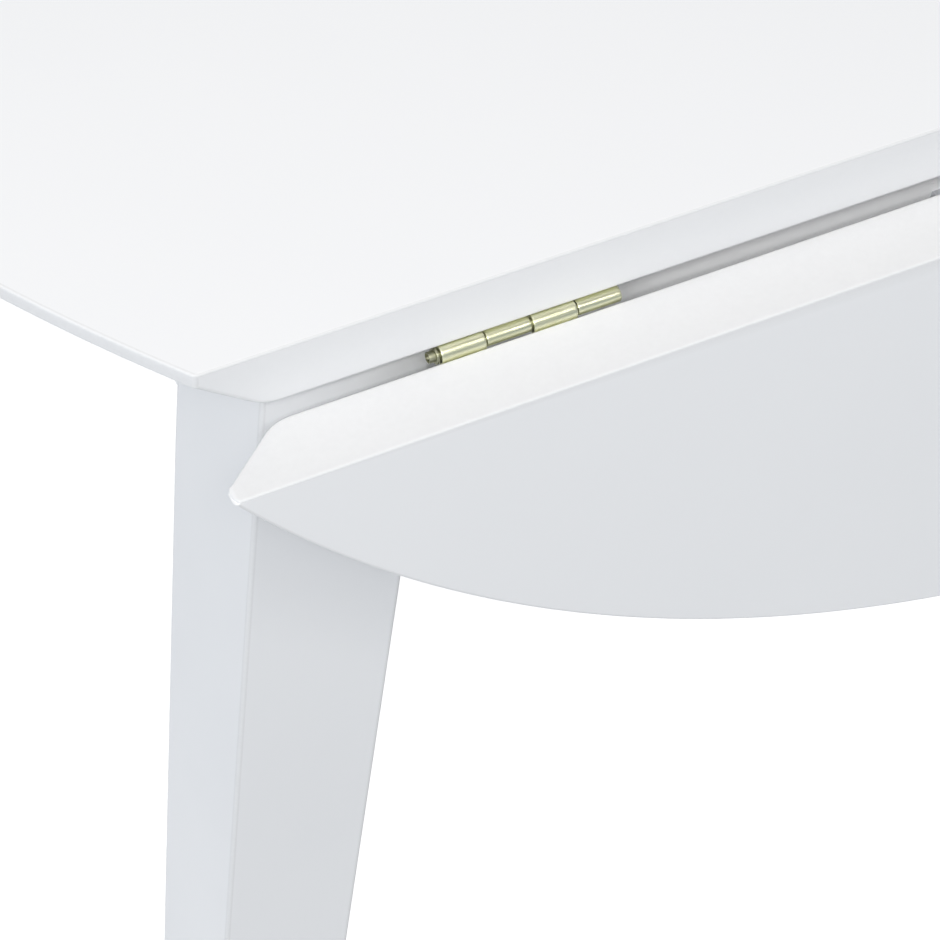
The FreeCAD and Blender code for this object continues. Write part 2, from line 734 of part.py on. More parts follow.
def apron_bracket(name):
    """The stay's bracket on the apron: a plate, a tab with a round nose and a fixed rivet."""
    plate = box(name + "_plate",
                ("stay_plate_thickness - stay_plate_length", "apron_face - stay_plate_thickness",
                 "-stay_anchor_drop - stay_plate_height / 2"),
                ("stay_plate_length", "stay_plate_thickness", "stay_plate_height"))
    tab = box(name + "_tab", ("0", "anchor_y", "-stay_anchor_drop - tab_radius"),
              ("stay_plate_thickness", "stay_standoff", "2 * tab_radius"))
    centre = ("0", "anchor_y", "-stay_anchor_drop")
    nose = rod(name + "_nose", centre, "+x", "tab_radius", "stay_plate_thickness")
    rivet = rod(name + "_rivet", centre, "+x", "stay_rivet_radius", "long_arm_x + stay_arm_thickness")
    head = cone(name + "_head", centre, "-x", "stay_head_radius", "stay_rivet_radius", "stay_head_height")
    sinks = [seat(f"{name}_sink_{index}", at, "+y") for index, at in enumerate(APRON_BRACKET_SCREWS)]
    return cut(name, join(name + "_blank", [plate, tab, nose, rivet, head]), sinks)


def leaf_bracket(name):
    """The stay's bracket on the leaf, shaped under a level leaf: a plate, a tab and a fixed rivet."""
    plate = box(name + "_plate", ("leaf_tab_x", "-stay_leaf_reach - stay_plate_height / 2",
                                  "pin_drop - stay_plate_thickness"),
                ("stay_plate_length", "stay_plate_height", "stay_plate_thickness"))
    tab = box(name + "_tab", ("leaf_tab_x", "-stay_leaf_reach - tab_radius", "leaf_pivot_z"),
              ("stay_plate_thickness", "2 * tab_radius", "stay_leaf_standoff"))
    centre = ("leaf_tab_x", "-stay_leaf_reach", "leaf_pivot_z")
    nose = rod(name + "_nose", centre, "+x", "tab_radius", "stay_plate_thickness")
    rivet = rod(name + "_rivet", ("short_arm_x", *centre[1:]), "+x",
                "stay_rivet_radius", "leaf_tab_x - short_arm_x")
    head = cone(name + "_head", ("leaf_tab_x + stay_plate_thickness", *centre[1:]), "+x",
                "stay_head_radius", "stay_rivet_radius", "stay_head_height")
    sinks = [seat(f"{name}_sink_{index}", at, "+z") for index, at in enumerate(LEAF_BRACKET_SCREWS)]
    return cut(name, join(name + "_blank", [plate, tab, nose, rivet, head]), sinks)


def arm(name, start_x, length, button):
    """A flat arm that runs down from its pivot, with a rivet button at the elbow on one side."""
    bar = box(name + "_bar", (start_x, "-stay_arm_width / 2", f"-({length})"),
              ("stay_arm_thickness", "stay_arm_width", length))
    ends = [rod(f"{name}_end_{index}", (start_x, "0", height), "+x",
                "stay_arm_width / 2", "stay_arm_thickness")
            for index, height in enumerate(("0", f"-({length})"))]
    base = start_x if button == "-x" else f"{start_x} + stay_arm_thickness"
    knob = cone(name + "_button", (base, "0", f"-({length})"), button,
                "stay_head_radius", "stay_rivet_radius", "stay_head_height")
    hole = rod(name + "_pivot_hole", (start_x, "0", "0"), "+x",
               "stay_rivet_radius + running_clearance", "stay_arm_thickness")
    return cut(name, join(name + "_blank", [bar, knob] + ends), [hole])


def arm_frame(pivot, elbow):
    """A frame at an arm's pivot whose -Z points at the elbow, and the arm's length."""
    run = elbow - pivot
    lean = math.degrees(math.atan2(run.y, -run.z))
    return Placement(pivot, Rotation(X_AXIS, lean)), run.Length


def make_stays():
    """The four folding stays, as they lie folded behind the hanging leaves, and their screws."""
    anchor = Vector(0, value("anchor_y"), -value("stay_anchor_drop"))
    leaf_pivot = Vector(0, -value("leaf_pivot_z"), -value("stay_leaf_reach"))
    elbow = Vector(0, value("stay_elbow_inset"), -value("stay_elbow_drop"))
    long_frame, long_length = arm_frame(anchor, elbow)
    short_frame, short_length = arm_frame(leaf_pivot, elbow)
    apron_screws = []
    for side in SIDES:
        leaf_screws = []
        for end in ENDS:
            name = f"{side}_{end}_stay"
            local = pin_frame(along(side, end) * value("stay_x"))
            table = side_frame(side) * local
            leaf = hung_frame(side) * local
            keep(name + "_apron_bracket", apron_bracket(name + "_apron_bracket"), table)
            keep(name + "_leaf_bracket", leaf_bracket(name + "_leaf_bracket"), leaf)
            long_arm = arm(name + "_long_arm", "long_arm_x", long_length, "-x")
            keep(name + "_long_arm", long_arm, table * long_frame)
            short_arm = arm(name + "_short_arm", "short_arm_x", short_length, "+x")
            keep(name + "_short_arm", short_arm, table * short_frame)
            pair = [screw(f"{name}_apron_screw_{index}", at, "+y")
                    for index, at in enumerate(APRON_BRACKET_SCREWS)]
            apron_screws.append(group(name + "_apron_screws", pair, table))
            pair = [screw(f"{name}_leaf_screw_{index}", at, "+z")
                    for index, at in enumerate(LEAF_BRACKET_SCREWS)]
            leaf_screws.append(group(name + "_leaf_screws", pair, leaf))
        keep(f"{side}_leaf_stay_screws", group(f"{side}_leaf_stay_screws", leaf_screws))
    keep("apron_stay_screws", group("apron_stay_screws", apron_screws))


def make_stops():
    """The rubber stops on the long aprons that the hanging leaves lie against."""
    stops = []
    for side in SIDES:
        for end in ENDS:
            name = f"{side}_{end}_stop"
            base = ("0", "apron_face", "-stop_drop")
            body = rod(name + "_body", base, "-y", "stop_radius", "stop_length")
            stem = rod(name + "_stem", base, "+y", "stop_stem_radius", "stop_stem_length")
            frame = side_frame(side) * pin_frame(along(side, end) * value("stop_x"))
            stops.append(group(name + "_set", [join(name, [body, stem])], frame))
    keep("leaf_stops", group("leaf_stops", stops))


# Assembly

def check():
    """Stop if a feature failed or a node has no sound solid."""
    for item in doc.Objects:
        if "Invalid" in item.State or "Error" in item.State:
            raise RuntimeError(f"{item.Name} failed: {item.State}")
    for name, piece in nodes.items():
        shape = piece.Shape
        if shape.isNull() or not shape.isValid() or not shape.Solids:
            raise RuntimeError(f"{name} has no sound solid")


make_top()
for leaf_side in SIDES:
    make_leaf(leaf_side)
for leg_corner in CORNERS:
    make_leg(leg_corner)
make_corners()
make_aprons()
make_angles()
make_hinges()
make_stays()
make_stops()
doc.recompute()
check()

os.makedirs("parts", exist_ok=True)
for node, solid in nodes.items():
    solid.Shape.exportStep(f"parts/{node}.step")
    print(f"{node}: {len(solid.Shape.Solids)} solids, {solid.Shape.Volume / 1000:.2f} cm3")
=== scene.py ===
"""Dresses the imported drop-leaf table: lacquered boards and legs, brass hinges, steel stays, light and camera.

All lengths are in metres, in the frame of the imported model: the origin is on the floor under the middle of
the table, +X runs along the hinges and +Z is up. A shape is worked out once for the front left corner, or for
a level front leaf, and then turned to its place.
"""

import json
import logging
import math
from dataclasses import dataclass
from enum import Enum

import bmesh
import bpy
import numpy as np
from mathutils import Matrix, Vector


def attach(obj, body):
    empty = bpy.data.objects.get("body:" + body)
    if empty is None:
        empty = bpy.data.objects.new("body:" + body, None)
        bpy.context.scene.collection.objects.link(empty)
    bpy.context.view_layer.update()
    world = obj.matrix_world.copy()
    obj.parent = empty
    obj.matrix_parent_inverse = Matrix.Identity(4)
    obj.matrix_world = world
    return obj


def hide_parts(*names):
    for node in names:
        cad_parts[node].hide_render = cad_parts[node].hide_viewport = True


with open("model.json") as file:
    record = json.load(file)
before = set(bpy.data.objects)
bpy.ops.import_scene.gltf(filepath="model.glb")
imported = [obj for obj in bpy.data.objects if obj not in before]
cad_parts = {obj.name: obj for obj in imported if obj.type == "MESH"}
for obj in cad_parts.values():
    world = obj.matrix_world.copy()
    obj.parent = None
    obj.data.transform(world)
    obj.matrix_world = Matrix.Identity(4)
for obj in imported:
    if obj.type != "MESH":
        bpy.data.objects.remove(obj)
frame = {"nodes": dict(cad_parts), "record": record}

Array = np.ndarray
Node = bpy.types.Node
LOG = logging.getLogger("table")
MM = 0.001
WELD = 1e-7
HOLD = 0.4 * MM
ARC_STEPS = 6
FEW_STEPS = 4
SHARP_ANGLE = math.radians(40.0)
NOISE_MIDDLE = (0.3, 0.7)
NOISE_ROUGHNESS = 0.55
MIX_FIRST, MIX_SECOND, MIX_RESULT = 6, 7, 2


class Place(Enum):
    """A choice among named places on the table."""

    @property
    def word(self) -> str:
        """The place's word in the names of nodes."""
        return self.name.lower()


class Side(Place):
    """The two long sides of the table, with the turn about Z from the front."""

    FRONT = 0.0
    REAR = math.pi

    @property
    def turn(self) -> Matrix:
        """The turn of a front piece to this side."""
        return Matrix.Rotation(self.value, 4, "Z")


class End(Place):
    """The two ends of a long side, with the sign along X."""

    LEFT = -1
    RIGHT = 1

    def along(self, side: Side) -> int:
        """The sign along X before the side's turn."""
        return self.value if side is Side.FRONT else -self.value


class Corner(Place):
    """The four corners: signs along X and Y, and the turn that points a leg's inner faces inward."""

    FRONT_LEFT = (-1, -1, 0.0)
    FRONT_RIGHT = (1, -1, math.pi / 2)
    REAR_RIGHT = (1, 1, math.pi)
    REAR_LEFT = (-1, 1, 3 * math.pi / 2)


# Surfaces

@dataclass
class Shell:
    """A surface: points, faces as tuples of point numbers, and how much each point is an arris.

    Attributes:
        points: Places of the points, one row each.
        faces: Point numbers of each face.
        arris: 1 on rounded arrises and thin edges, 0 on broad faces; the lacquer paints shade on these points.
    """

    points: Array
    faces: list
    arris: Array

    def placed(self, matrix: Matrix) -> "Shell":
        """The same surface moved by a matrix."""
        turn = np.array(matrix)
        return Shell(self.points @ turn[:3, :3].T + turn[:3, 3], self.faces, self.arris)


def grid_faces(rows: int, columns: int, close_rows: bool) -> Array:
    """The quads of a grid of closed rows, whose points are numbered row by row.

    Args:
        rows: Number of rows of points.
        columns: Number of points in a row.
        close_rows: Whether the last row joins the first.

    Returns:
        One row of four point numbers per quad.
    """
    row = np.arange(rows if close_rows else rows - 1)
    here, this = np.meshgrid(row, np.arange(columns), indexing="ij")
    there = (here + 1) % rows
    that = (this + 1) % columns
    corners = [here * columns + this, here * columns + that, there * columns + that, there * columns + this]
    return np.stack(corners, axis=-1).reshape(-1, 4)


def grid_shell(points: Array, arris: Array = None, close_rows: bool = False, caps: bool = False) -> Shell:
    """A surface from a grid of points whose rows are closed loops.

    Args:
        points: Array of rows, columns and three coordinates.
        arris: How much each point is an arris, or none for broad faces only.
        close_rows: Whether the last loop joins the first.
        caps: Whether the first and the last loop are filled.

    Returns:
        The surface.
    """
    rows, columns = points.shape[:2]
    faces = grid_faces(rows, columns, close_rows).tolist()
    if caps:
        faces.append(list(range(columns)))
        faces.append(list(range((rows - 1) * columns, rows * columns)))
    level = np.zeros((rows, columns)) if arris is None else np.broadcast_to(arris, (rows, columns))
    return Shell(points.reshape(-1, 3), faces, np.array(level).reshape(-1))


def corner_arc(before: tuple, corner: tuple, after: tuple, radius: float, steps: int) -> Array:
    """A rounded corner of an outline: the arc that touches both of its sides.

    The centre lies on the bisector at radius / sin(half angle), and the arc swings between the two directions
    from the centre to its touching points.

    Args:
        before: The outline's point before the corner.
        corner: The sharp corner.
        after: The outline's point after the corner.
        radius: Radius of the arc.
        steps: Number of steps along the arc.

    Returns:
        Points from the side before to the side after, one row each.
    """
    tip = np.array(corner, float)
    back = np.array(before, float) - tip
    onward = np.array(after, float) - tip
    back /= np.linalg.norm(back)
    onward /= np.linalg.norm(onward)
    half = math.acos(float(np.clip(back @ onward, -1.0, 1.0))) / 2
    middle = tip + (back + onward) / np.linalg.norm(back + onward) * radius / math.sin(half)
    first = tip + back * radius / math.tan(half) - middle
    last = tip + onward * radius / math.tan(half) - middle
    swing = math.pi - 2 * half
    share = np.linspace(0.0, 1.0, steps + 1)[:, None]
    return middle + (np.sin((1 - share) * swing) * first + np.sin(share * swing) * last) / math.sin(swing)


def rounded_outline(corners: list, radius: float, steps: int = ARC_STEPS, hold: float = HOLD) -> tuple:
    """A closed outline with each corner rounded and a point beside each arc that keeps the sides flat.

    Args:
        corners: The sharp corners in order.
        radius: Radius of the arcs.
        steps: Number of steps along each arc.
        hold: Distance of the extra points from the arcs.

    Returns:
        The points, and 1 for each point on an arc and 0 for the others.
    """
    runs = []
    marks = []
    count = len(corners)
    for index, corner in enumerate(corners):
        before = corners[index - 1]
        after = corners[(index + 1) % count]
        arc = corner_arc(before, corner, after, radius, steps)
        start = np.array(before, float) - arc[0]
        finish = np.array(after, float) - arc[-1]
        first = arc[0] + start / np.linalg.norm(start) * hold
        last = arc[-1] + finish / np.linalg.norm(finish) * hold
        runs.append(np.vstack([first, arc, last]))
        marks.append(np.r_[0.0, np.ones(steps + 1), 0.0])
    return np.vstack(runs), np.concatenate(marks)


def turned(profile: Array, sides: int = 48) -> Shell:
    """A body turned about Z: each profile point (radius, height) runs round a circle.

    Args:
        profile: Radius and height of each point, from pole to pole.
        sides: Number of steps round the circle.

    Returns:
        The surface.
    """
    angle = np.linspace(0.0, 2 * math.pi, sides, endpoint=False)
    radius = profile[:, 0, None]
    height = np.repeat(profile[:, 1, None], sides, axis=1)
    return grid_shell(np.stack([radius * np.cos(angle), radius * np.sin(angle), height], axis=-1))


def soft_end(radius: float) -> tuple:
    """The loops that round off the end of a bar.

    The loop at angle a is drawn in by r (1 - sin a) and lies r (1 - cos a) from the end, for a from 0 to 90
    degrees, so the end's arris is an arc of radius r. One more loop lies on the end and one past the arc.

    Args:
        radius: Radius of the end's arris.

    Returns:
        How far each loop is drawn in, and its distance from the end.
    """
    angle = np.linspace(0.0, math.pi / 2, FEW_STEPS)
    drawn = np.r_[radius + HOLD, radius * (1 - np.sin(angle)), 0.0]
    return drawn, np.r_[0.0, radius * (1 - np.cos(angle)), radius + HOLD]


def swept_bar(outline: Array, marks: Array, start: float, finish: float, softness: float) -> Shell:
    """A bar along X with a closed outline in Y and Z, whose two ends are slightly rounded.

    Args:
        outline: Points of the outline.
        marks: 1 for each outline point on an arris.
        start: Lowest X.
        finish: Highest X.
        softness: Radius of the ends' arrises.

    Returns:
        The closed surface.
    """
    step = np.roll(outline, -1, axis=0) - np.roll(outline, 1, axis=0)
    outward = np.stack([step[:, 1], -step[:, 0]], axis=-1)
    outward /= np.linalg.norm(outward, axis=1, keepdims=True)
    middle = outline.mean(axis=0)
    if np.sum(outward * (outline - middle)) < 0:
        outward = -outward
    drawn, along = soft_end(softness)
    inset = np.r_[drawn, drawn[::-1]]
    place = np.r_[start + along, finish - along[::-1]]
    loops = outline[None] - inset[:, None, None] * outward[None]
    across = np.repeat(place[:, None], len(outline), axis=1)
    edge = np.r_[0.0, np.ones(FEW_STEPS), 0.0]
    level = np.maximum(np.r_[edge, edge[::-1]][:, None], marks[None])
    return grid_shell(np.concatenate([across[..., None], loops], axis=-1), level, caps=True)


def drilled_plate(outline: Array, inner: Array, hole: tuple, radii: tuple, heights: tuple,
                  soft: float) -> Shell:
    """A flat plate with one round hole, as a ring between the hole and the outline.

    Each point of the outline has a partner on the hole in the same direction from its centre. The loop over
    the section runs along the lower face, round the plate's edge, back along the upper face and down the
    hole.

    Args:
        outline: Points of the plate's outline.
        inner: The outline drawn in where its lower and upper arrises are softened.
        hole: Centre of the hole.
        radii: Radius of the hole at the lower and the upper face.
        heights: Heights of the lower and the upper face.
        soft: Height of the softened arrises.

    Returns:
        The closed surface.
    """
    centre = np.array(hole)
    ray = outline - centre
    ray /= np.linalg.norm(ray, axis=1, keepdims=True)
    low, high = heights
    loops = [
        (centre + ray * radii[0], low),
        (centre + ray * (radii[0] + HOLD), low),
        (inner, low),
        (outline, low + soft),
        (outline, high - soft),
        (inner, high),
        (centre + ray * (radii[1] + HOLD), high),
        (centre + ray * radii[1], high),
    ]
    rows = [np.column_stack([flat, np.full(len(flat), height)]) for flat, height in loops]
    edge = np.array([0.0, 0.0, 1.0, 1.0, 1.0, 1.0, 0.0, 0.0])[:, None]
    return grid_shell(np.stack(rows), edge, close_rows=True)


# Finishes

class Tree:
    """A node tree, with short calls that add nodes and join them."""

    def __init__(self, tree: bpy.types.NodeTree) -> None:
        """Start an empty tree with a node that gives places.

        Args:
            tree: The node tree, which is cleared.
        """
        self.tree = tree
        self.tree.nodes.clear()
        self.place = self.add("ShaderNodeTexCoord")

    def add(self, kind: str, **values: object) -> Node:
        """Add a node and set its inputs.

        Args:
            kind: Blender's name for the kind of node.
            **values: Values of its inputs, as set takes them.

        Returns:
            The new node.
        """
        node = self.tree.nodes.new(kind)
        self.set(node, **values)
        return node

    def set(self, node: Node, **values: object) -> None:
        """Set constant values on a node's own inputs by name, with spaces written as underscores."""
        for key, value in values.items():
            node.inputs[key.replace("_", " ")].default_value = value

    def join(self, giver: Node, output: object, taker: Node, socket: object) -> None:
        """Link one node's output to another node's input."""
        self.tree.links.new(giver.outputs[output], taker.inputs[socket])

    def spread(self, giver: Node, output: str, goal: tuple, reach: tuple = NOISE_MIDDLE) -> Node:
        """Map one range of values to another.

        Args:
            giver: The node that gives the value.
            output: Name of its output.
            goal: Lowest and highest result.
            reach: Lowest and highest value, which are the middle of a noise if not given.

        Returns:
            The new node, with the output Result.
        """
        low, high = goal
        node = self.add("ShaderNodeMapRange", From_Min=reach[0], From_Max=reach[1], To_Min=low, To_Max=high)
        self.join(giver, output, node, "Value")
        return node

    def reckon(self, kind: str, giver: Node, output: str, *values: float) -> Node:
        """Put a value through a sum.

        Args:
            kind: Blender's name for the kind of sum.
            giver: The node that gives the first value.
            output: Name of its output.
            *values: Constants on the sum's other inputs.

        Returns:
            The new node, with the output Value.
        """
        node = self.add("ShaderNodeMath")
        node.operation = kind
        for number, value in enumerate(values, 1):
            node.inputs[number].default_value = value
        self.join(giver, output, node, 0)
        return node

    def tint(self, giver: Node, output: str, first: tuple, second: tuple) -> Node:
        """Mix two colours by a value.

        Args:
            giver: The node that gives the value.
            output: Name of its output.
            first: Colour where the value is 0.
            second: Colour where the value is 1.

        Returns:
            The new node, with the output MIX_RESULT.
        """
        node = self.add("ShaderNodeMix")
        node.data_type = "RGBA"
        node.inputs[MIX_FIRST].default_value = (*first, 1.0)
        node.inputs[MIX_SECOND].default_value = (*second, 1.0)
        self.join(giver, output, node, 0)
        return node


class Sketch(Tree):
    """A material's node tree, with its shader."""

    def __init__(self, name: str) -> None:
        """Start a material with a shader and an output.

        Args:
            name: Name of the material.
        """
        self.material = bpy.data.materials.new(name)
        self.material.use_nodes = True
        super().__init__(self.material.node_tree)
        self.shader = self.add("ShaderNodeBsdfPrincipled")
        self.join(self.shader, "BSDF", self.add("ShaderNodeOutputMaterial"), "Surface")

    def noise(self, stretch: tuple, detail: float) -> Node:
        """Noise on Object coordinates.

        Args:
            stretch: Features per metre along X, Y and Z.
            detail: Number of finer layers.

        Returns:
            The new node, with the output Fac.
        """
        mapping = self.add("ShaderNodeMapping", Scale=stretch)
        noise = self.add("ShaderNodeTexNoise", Scale=1.0, Detail=detail, Roughness=NOISE_ROUGHNESS)
        self.join(self.place, "Object", mapping, "Vector")
        self.join(mapping, "Vector", noise, "Vector")
        return noise

    def mottle(self, noise: Node, light: tuple, dark: tuple) -> Node:
        """Mix two colours by a noise."""
        return self.tint(self.spread(noise, "Fac", (0.0, 1.0)), "Result", light, dark)

    def colour(self, mix: Node) -> None:
        """Use a colour mix as the base colour."""
        self.join(mix, MIX_RESULT, self.shader, "Base Color")

    def gloss(self, noise: Node, sheen: tuple) -> None:
        """Vary the roughness between two values by a noise."""
        self.join(self.spread(noise, "Fac", sheen), "Result", self.shader, "Roughness")

    def bump(self, noise: Node, strength: float, depth: float) -> Node:
        """Raise the surface by a noise.

        Args:
            noise: The noise.
            strength: Strength of the bump.
            depth: Height of the bump.

        Returns:
            The new node, with the output Normal.
        """
        node = self.add("ShaderNodeBump", Strength=strength, Distance=depth)
        self.join(noise, "Fac", node, "Height")
        self.join(node, "Normal", self.shader, "Normal")
        return node


@dataclass(frozen=True)
class Lacquer:
    """Sprayed satin lacquer: faint orange peel, cloudy sheen, and a darker colour painted on the arrises as
    shade that dims their highlights.

    Attributes:
        name: Name of the material.
        body: Colour of the broad faces.
        cloud: Colour of the faint clouds in them.
        rubbed: Colour of the painted shade on the arrises.
        sheen: Lowest and highest roughness.
        grain: Strength of the wood's grain under the lacquer, which runs up Z.
        clouds: Clouds per metre along X, Y and Z.
        grit: Features of the patchy painted edge shade per metre.
        wear: Lowest and highest share of the painted edge shade on an arris.
        peel: Features of the orange peel per metre.
        peel_relief: Strength and depth of the orange peel.
        pores: Features of the grain per metre.
        pore_depth: Depth of the grain.
    """

    name: str = "white_lacquer"
    body: tuple = (0.930, 0.931, 0.932)
    cloud: tuple = (0.918, 0.920, 0.922)
    # Darker colour painted on the arrises, the rim and the joint faces as shade.
    rubbed: tuple = (0.700, 0.700, 0.697)
    sheen: tuple = (0.34, 0.44)
    grain: float = 0.0
    clouds: tuple = (9.0, 9.0, 9.0)
    grit: tuple = (700.0, 700.0, 700.0)
    wear: tuple = (0.47, 0.57)
    peel: tuple = (520.0, 520.0, 520.0)
    peel_relief: tuple = (0.05, 0.2 * MM)
    pores: tuple = (420.0, 420.0, 9.0)
    pore_depth: float = 0.3 * MM

    def material(self) -> bpy.types.Material:
        """Build the node material.

        Returns:
            The new material.
        """
        sketch = Sketch(self.name)
        sketch.set(sketch.shader, IOR=1.48, Specular_IOR_Level=0.42, Coat_Weight=0.12, Coat_Roughness=0.3)
        clouds = sketch.noise(self.clouds, 3.0)
        broad = sketch.mottle(clouds, self.body, self.cloud)
        # The arris attribute mixes in the darker colour, made patchy by a noise: painted shade that dims the
        # arrises' highlights.
        arris = sketch.add("ShaderNodeAttribute")
        arris.attribute_name = "arris"
        edge_shade_share = sketch.reckon("MULTIPLY", arris, "Fac")
        edge_shade_patches = sketch.spread(sketch.noise(self.grit, 2.0), "Fac", self.wear)
        sketch.join(edge_shade_patches, "Result", edge_shade_share, 1)
        finish = sketch.tint(edge_shade_share, "Value", self.body, self.rubbed)
        sketch.join(broad, MIX_RESULT, finish, MIX_FIRST)
        sketch.colour(finish)
        sketch.gloss(clouds, self.sheen)
        skin = sketch.bump(sketch.noise(self.peel, 2.0), *self.peel_relief)
        if self.grain:
            streaks = sketch.bump(sketch.noise(self.pores, 3.0), self.grain, self.pore_depth)
            sketch.join(streaks, "Normal", skin, "Normal")
            sketch.join(skin, "Normal", sketch.shader, "Normal")
        return sketch.material


@dataclass(frozen=True)
class Metal:
    """Plated metal with drawn lines along one direction and faint mottling.

    Attributes:
        name: Name of the material.
        light: Colour of the plating.
        dark: Colour of the mottles.
        grain: Features per metre along X, Y and Z.
        sheen: Lowest and highest roughness.
        relief: Strength of the lines' bump.
        depth: Depth of the lines.
        mottles: Mottles per metre.
    """

    name: str
    light: tuple
    dark: tuple
    grain: tuple
    sheen: tuple
    relief: float
    depth: float = 0.1 * MM
    mottles: tuple = (160.0, 160.0, 160.0)

    def material(self) -> bpy.types.Material:
        """Build the node material.

        Returns:
            The new material.
        """
        sketch = Sketch(self.name)
        sketch.set(sketch.shader, Metallic=1.0)
        sketch.colour(sketch.mottle(sketch.noise(self.mottles, 4.0), self.light, self.dark))
        lines = sketch.noise(self.grain, 3.0)
        sketch.gloss(lines, self.sheen)
        sketch.bump(lines, self.relief, self.depth)
        return sketch.material


@dataclass(frozen=True)
class Moulded:
    """A moulded material with a fine skin: nylon or rubber.

    Attributes:
        name: Name of the material, which is also the record's slot.
        light: Colour of the skin.
        dark: Colour of its clouds.
        sheen: Lowest and highest roughness.
        pores: Features of the skin per metre.
        relief: Strength and depth of the skin.
        clouds: Clouds per metre.
    """

    name: str
    light: tuple
    dark: tuple
    sheen: tuple
    pores: float
    relief: tuple = (0.2, 0.2 * MM)
    clouds: tuple = (120.0, 120.0, 120.0)

    def material(self) -> bpy.types.Material:
        """Build the node material.

        Returns:
            The new material.
        """
        sketch = Sketch(self.name)
        clouds = sketch.noise(self.clouds, 3.0)
        sketch.colour(sketch.mottle(clouds, self.light, self.dark))
        sketch.gloss(clouds, self.sheen)
        sketch.bump(sketch.noise((self.pores, self.pores, self.pores), 2.0), *self.relief)
        return sketch.material


FINISHES = (
    Lacquer(),
    # The legs' body is darker than the boards': painted shade for the legs' lower, less lit place.
    Lacquer("leg_lacquer", (0.895, 0.897, 0.900), (0.880, 0.883, 0.887), (0.710, 0.710, 0.707),
            (0.36, 0.46), 0.12),
    # The aprons' body is lighter than the boards': painted light that brightens the shaded gap under the joint.
    Lacquer("apron_lacquer", (0.985, 0.985, 0.985), (0.976, 0.977, 0.978), (0.940, 0.940, 0.936)),
    Metal("brass", (0.89, 0.895, 0.66), (0.82, 0.82, 0.56), (60.0, 4200.0, 4200.0), (0.26, 0.46), 0.25),
    # Darker brass for the pins: painted shade for the shadowed stub.
    Metal("brass_pin", (0.44, 0.44, 0.31), (0.36, 0.36, 0.25), (60.0, 4200.0, 4200.0), (0.36, 0.52), 0.25),
    Metal("brass_screw", (0.78, 0.75, 0.46), (0.70, 0.66, 0.38), (900.0, 900.0, 900.0), (0.22, 0.4), 0.2),
    Metal("zinc_steel", (0.68, 0.69, 0.71), (0.56, 0.58, 0.61), (1500.0, 1500.0, 500.0), (0.26, 0.46), 0.25),
    Moulded("glide_plastic", (0.80, 0.80, 0.78), (0.74, 0.74, 0.72), (0.42, 0.55), 2600.0),
    Moulded("stop_rubber", (0.72, 0.72, 0.70), (0.66, 0.66, 0.64), (0.66, 0.82), 1900.0),
)


def put(name: str, data: bpy.types.ID) -> bpy.types.Object:
    """Make an object from its data, at the origin, and put it into the scene.

    Args:
        name: Name of the object.
        data: Its mesh, lamp or camera.

    Returns:
        The new object.
    """
    thing = bpy.data.objects.new(name, data)
    bpy.context.scene.collection.objects.link(thing)
    return thing


class Workshop:
    """Makes meshes into pieces of the model and keeps the materials."""

    def __init__(self) -> None:
        """Build each finish once."""
        self.materials = {finish.name: finish.material() for finish in FINISHES}
        self.replaced = set()

    def piece(self, name: str, shells: list, slot: str, body: str, nodes: list, finish: str = "") -> None:
        """Make one piece of the model from surfaces in their final place.

        Args:
            name: Name of the piece.
            shells: The surfaces.
            slot: The record's material slot.
            body: The body that the piece moves with.
            nodes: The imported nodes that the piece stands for.
            finish: Name of the material where it isn't the slot's.
        """
        starts = np.cumsum([0] + [len(shell.points) for shell in shells])
        points = np.vstack([shell.points for shell in shells])
        faces = [tuple(number + start for number in face)
                 for shell, start in zip(shells, starts.tolist()) for face in shell.faces]
        mesh = bpy.data.meshes.new(name)
        mesh.from_pydata(points, [], faces)
        arris = mesh.attributes.new("arris", "FLOAT", "POINT")
        arris.data.foreach_set("value", np.concatenate([shell.arris for shell in shells]).astype(np.float32))
        self.close(mesh)
        mesh.materials.append(self.materials[finish or slot])
        piece = put(name, mesh)
        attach(piece, body)
        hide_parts(*nodes)
        self.replaced.update(nodes)
        LOG.info("%s: %d faces on %s", name, len(mesh.polygons), body)

    def close(self, mesh: bpy.types.Mesh) -> None:
        """Weld a mesh's seams and poles, turn its faces outwards and shade it smoothly.

        Args:
            mesh: The mesh.
        """
        form = bmesh.new()
        form.from_mesh(mesh)
        bmesh.ops.remove_doubles(form, verts=form.verts, dist=WELD)
        bmesh.ops.dissolve_degenerate(form, edges=form.edges, dist=WELD)
        bmesh.ops.recalc_face_normals(form, faces=form.faces)
        form.to_mesh(mesh)
        form.free()
        mesh.polygons.foreach_set("use_smooth", np.ones(len(mesh.polygons), dtype=bool))
        mesh.set_sharp_from_angle(angle=SHARP_ANGLE)

    def dress_rest(self) -> None:
        """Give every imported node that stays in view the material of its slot."""
        slots = {part["node"]: part["material_slot"] for part in frame["record"]["subparts"]}
        for name, node in frame["nodes"].items():
            if name not in self.replaced:
                node.data.materials.clear()
                node.data.materials.append(self.materials[slots[name]])
                LOG.info("%s: kept, finished as %s", name, slots[name])


# The table's pieces

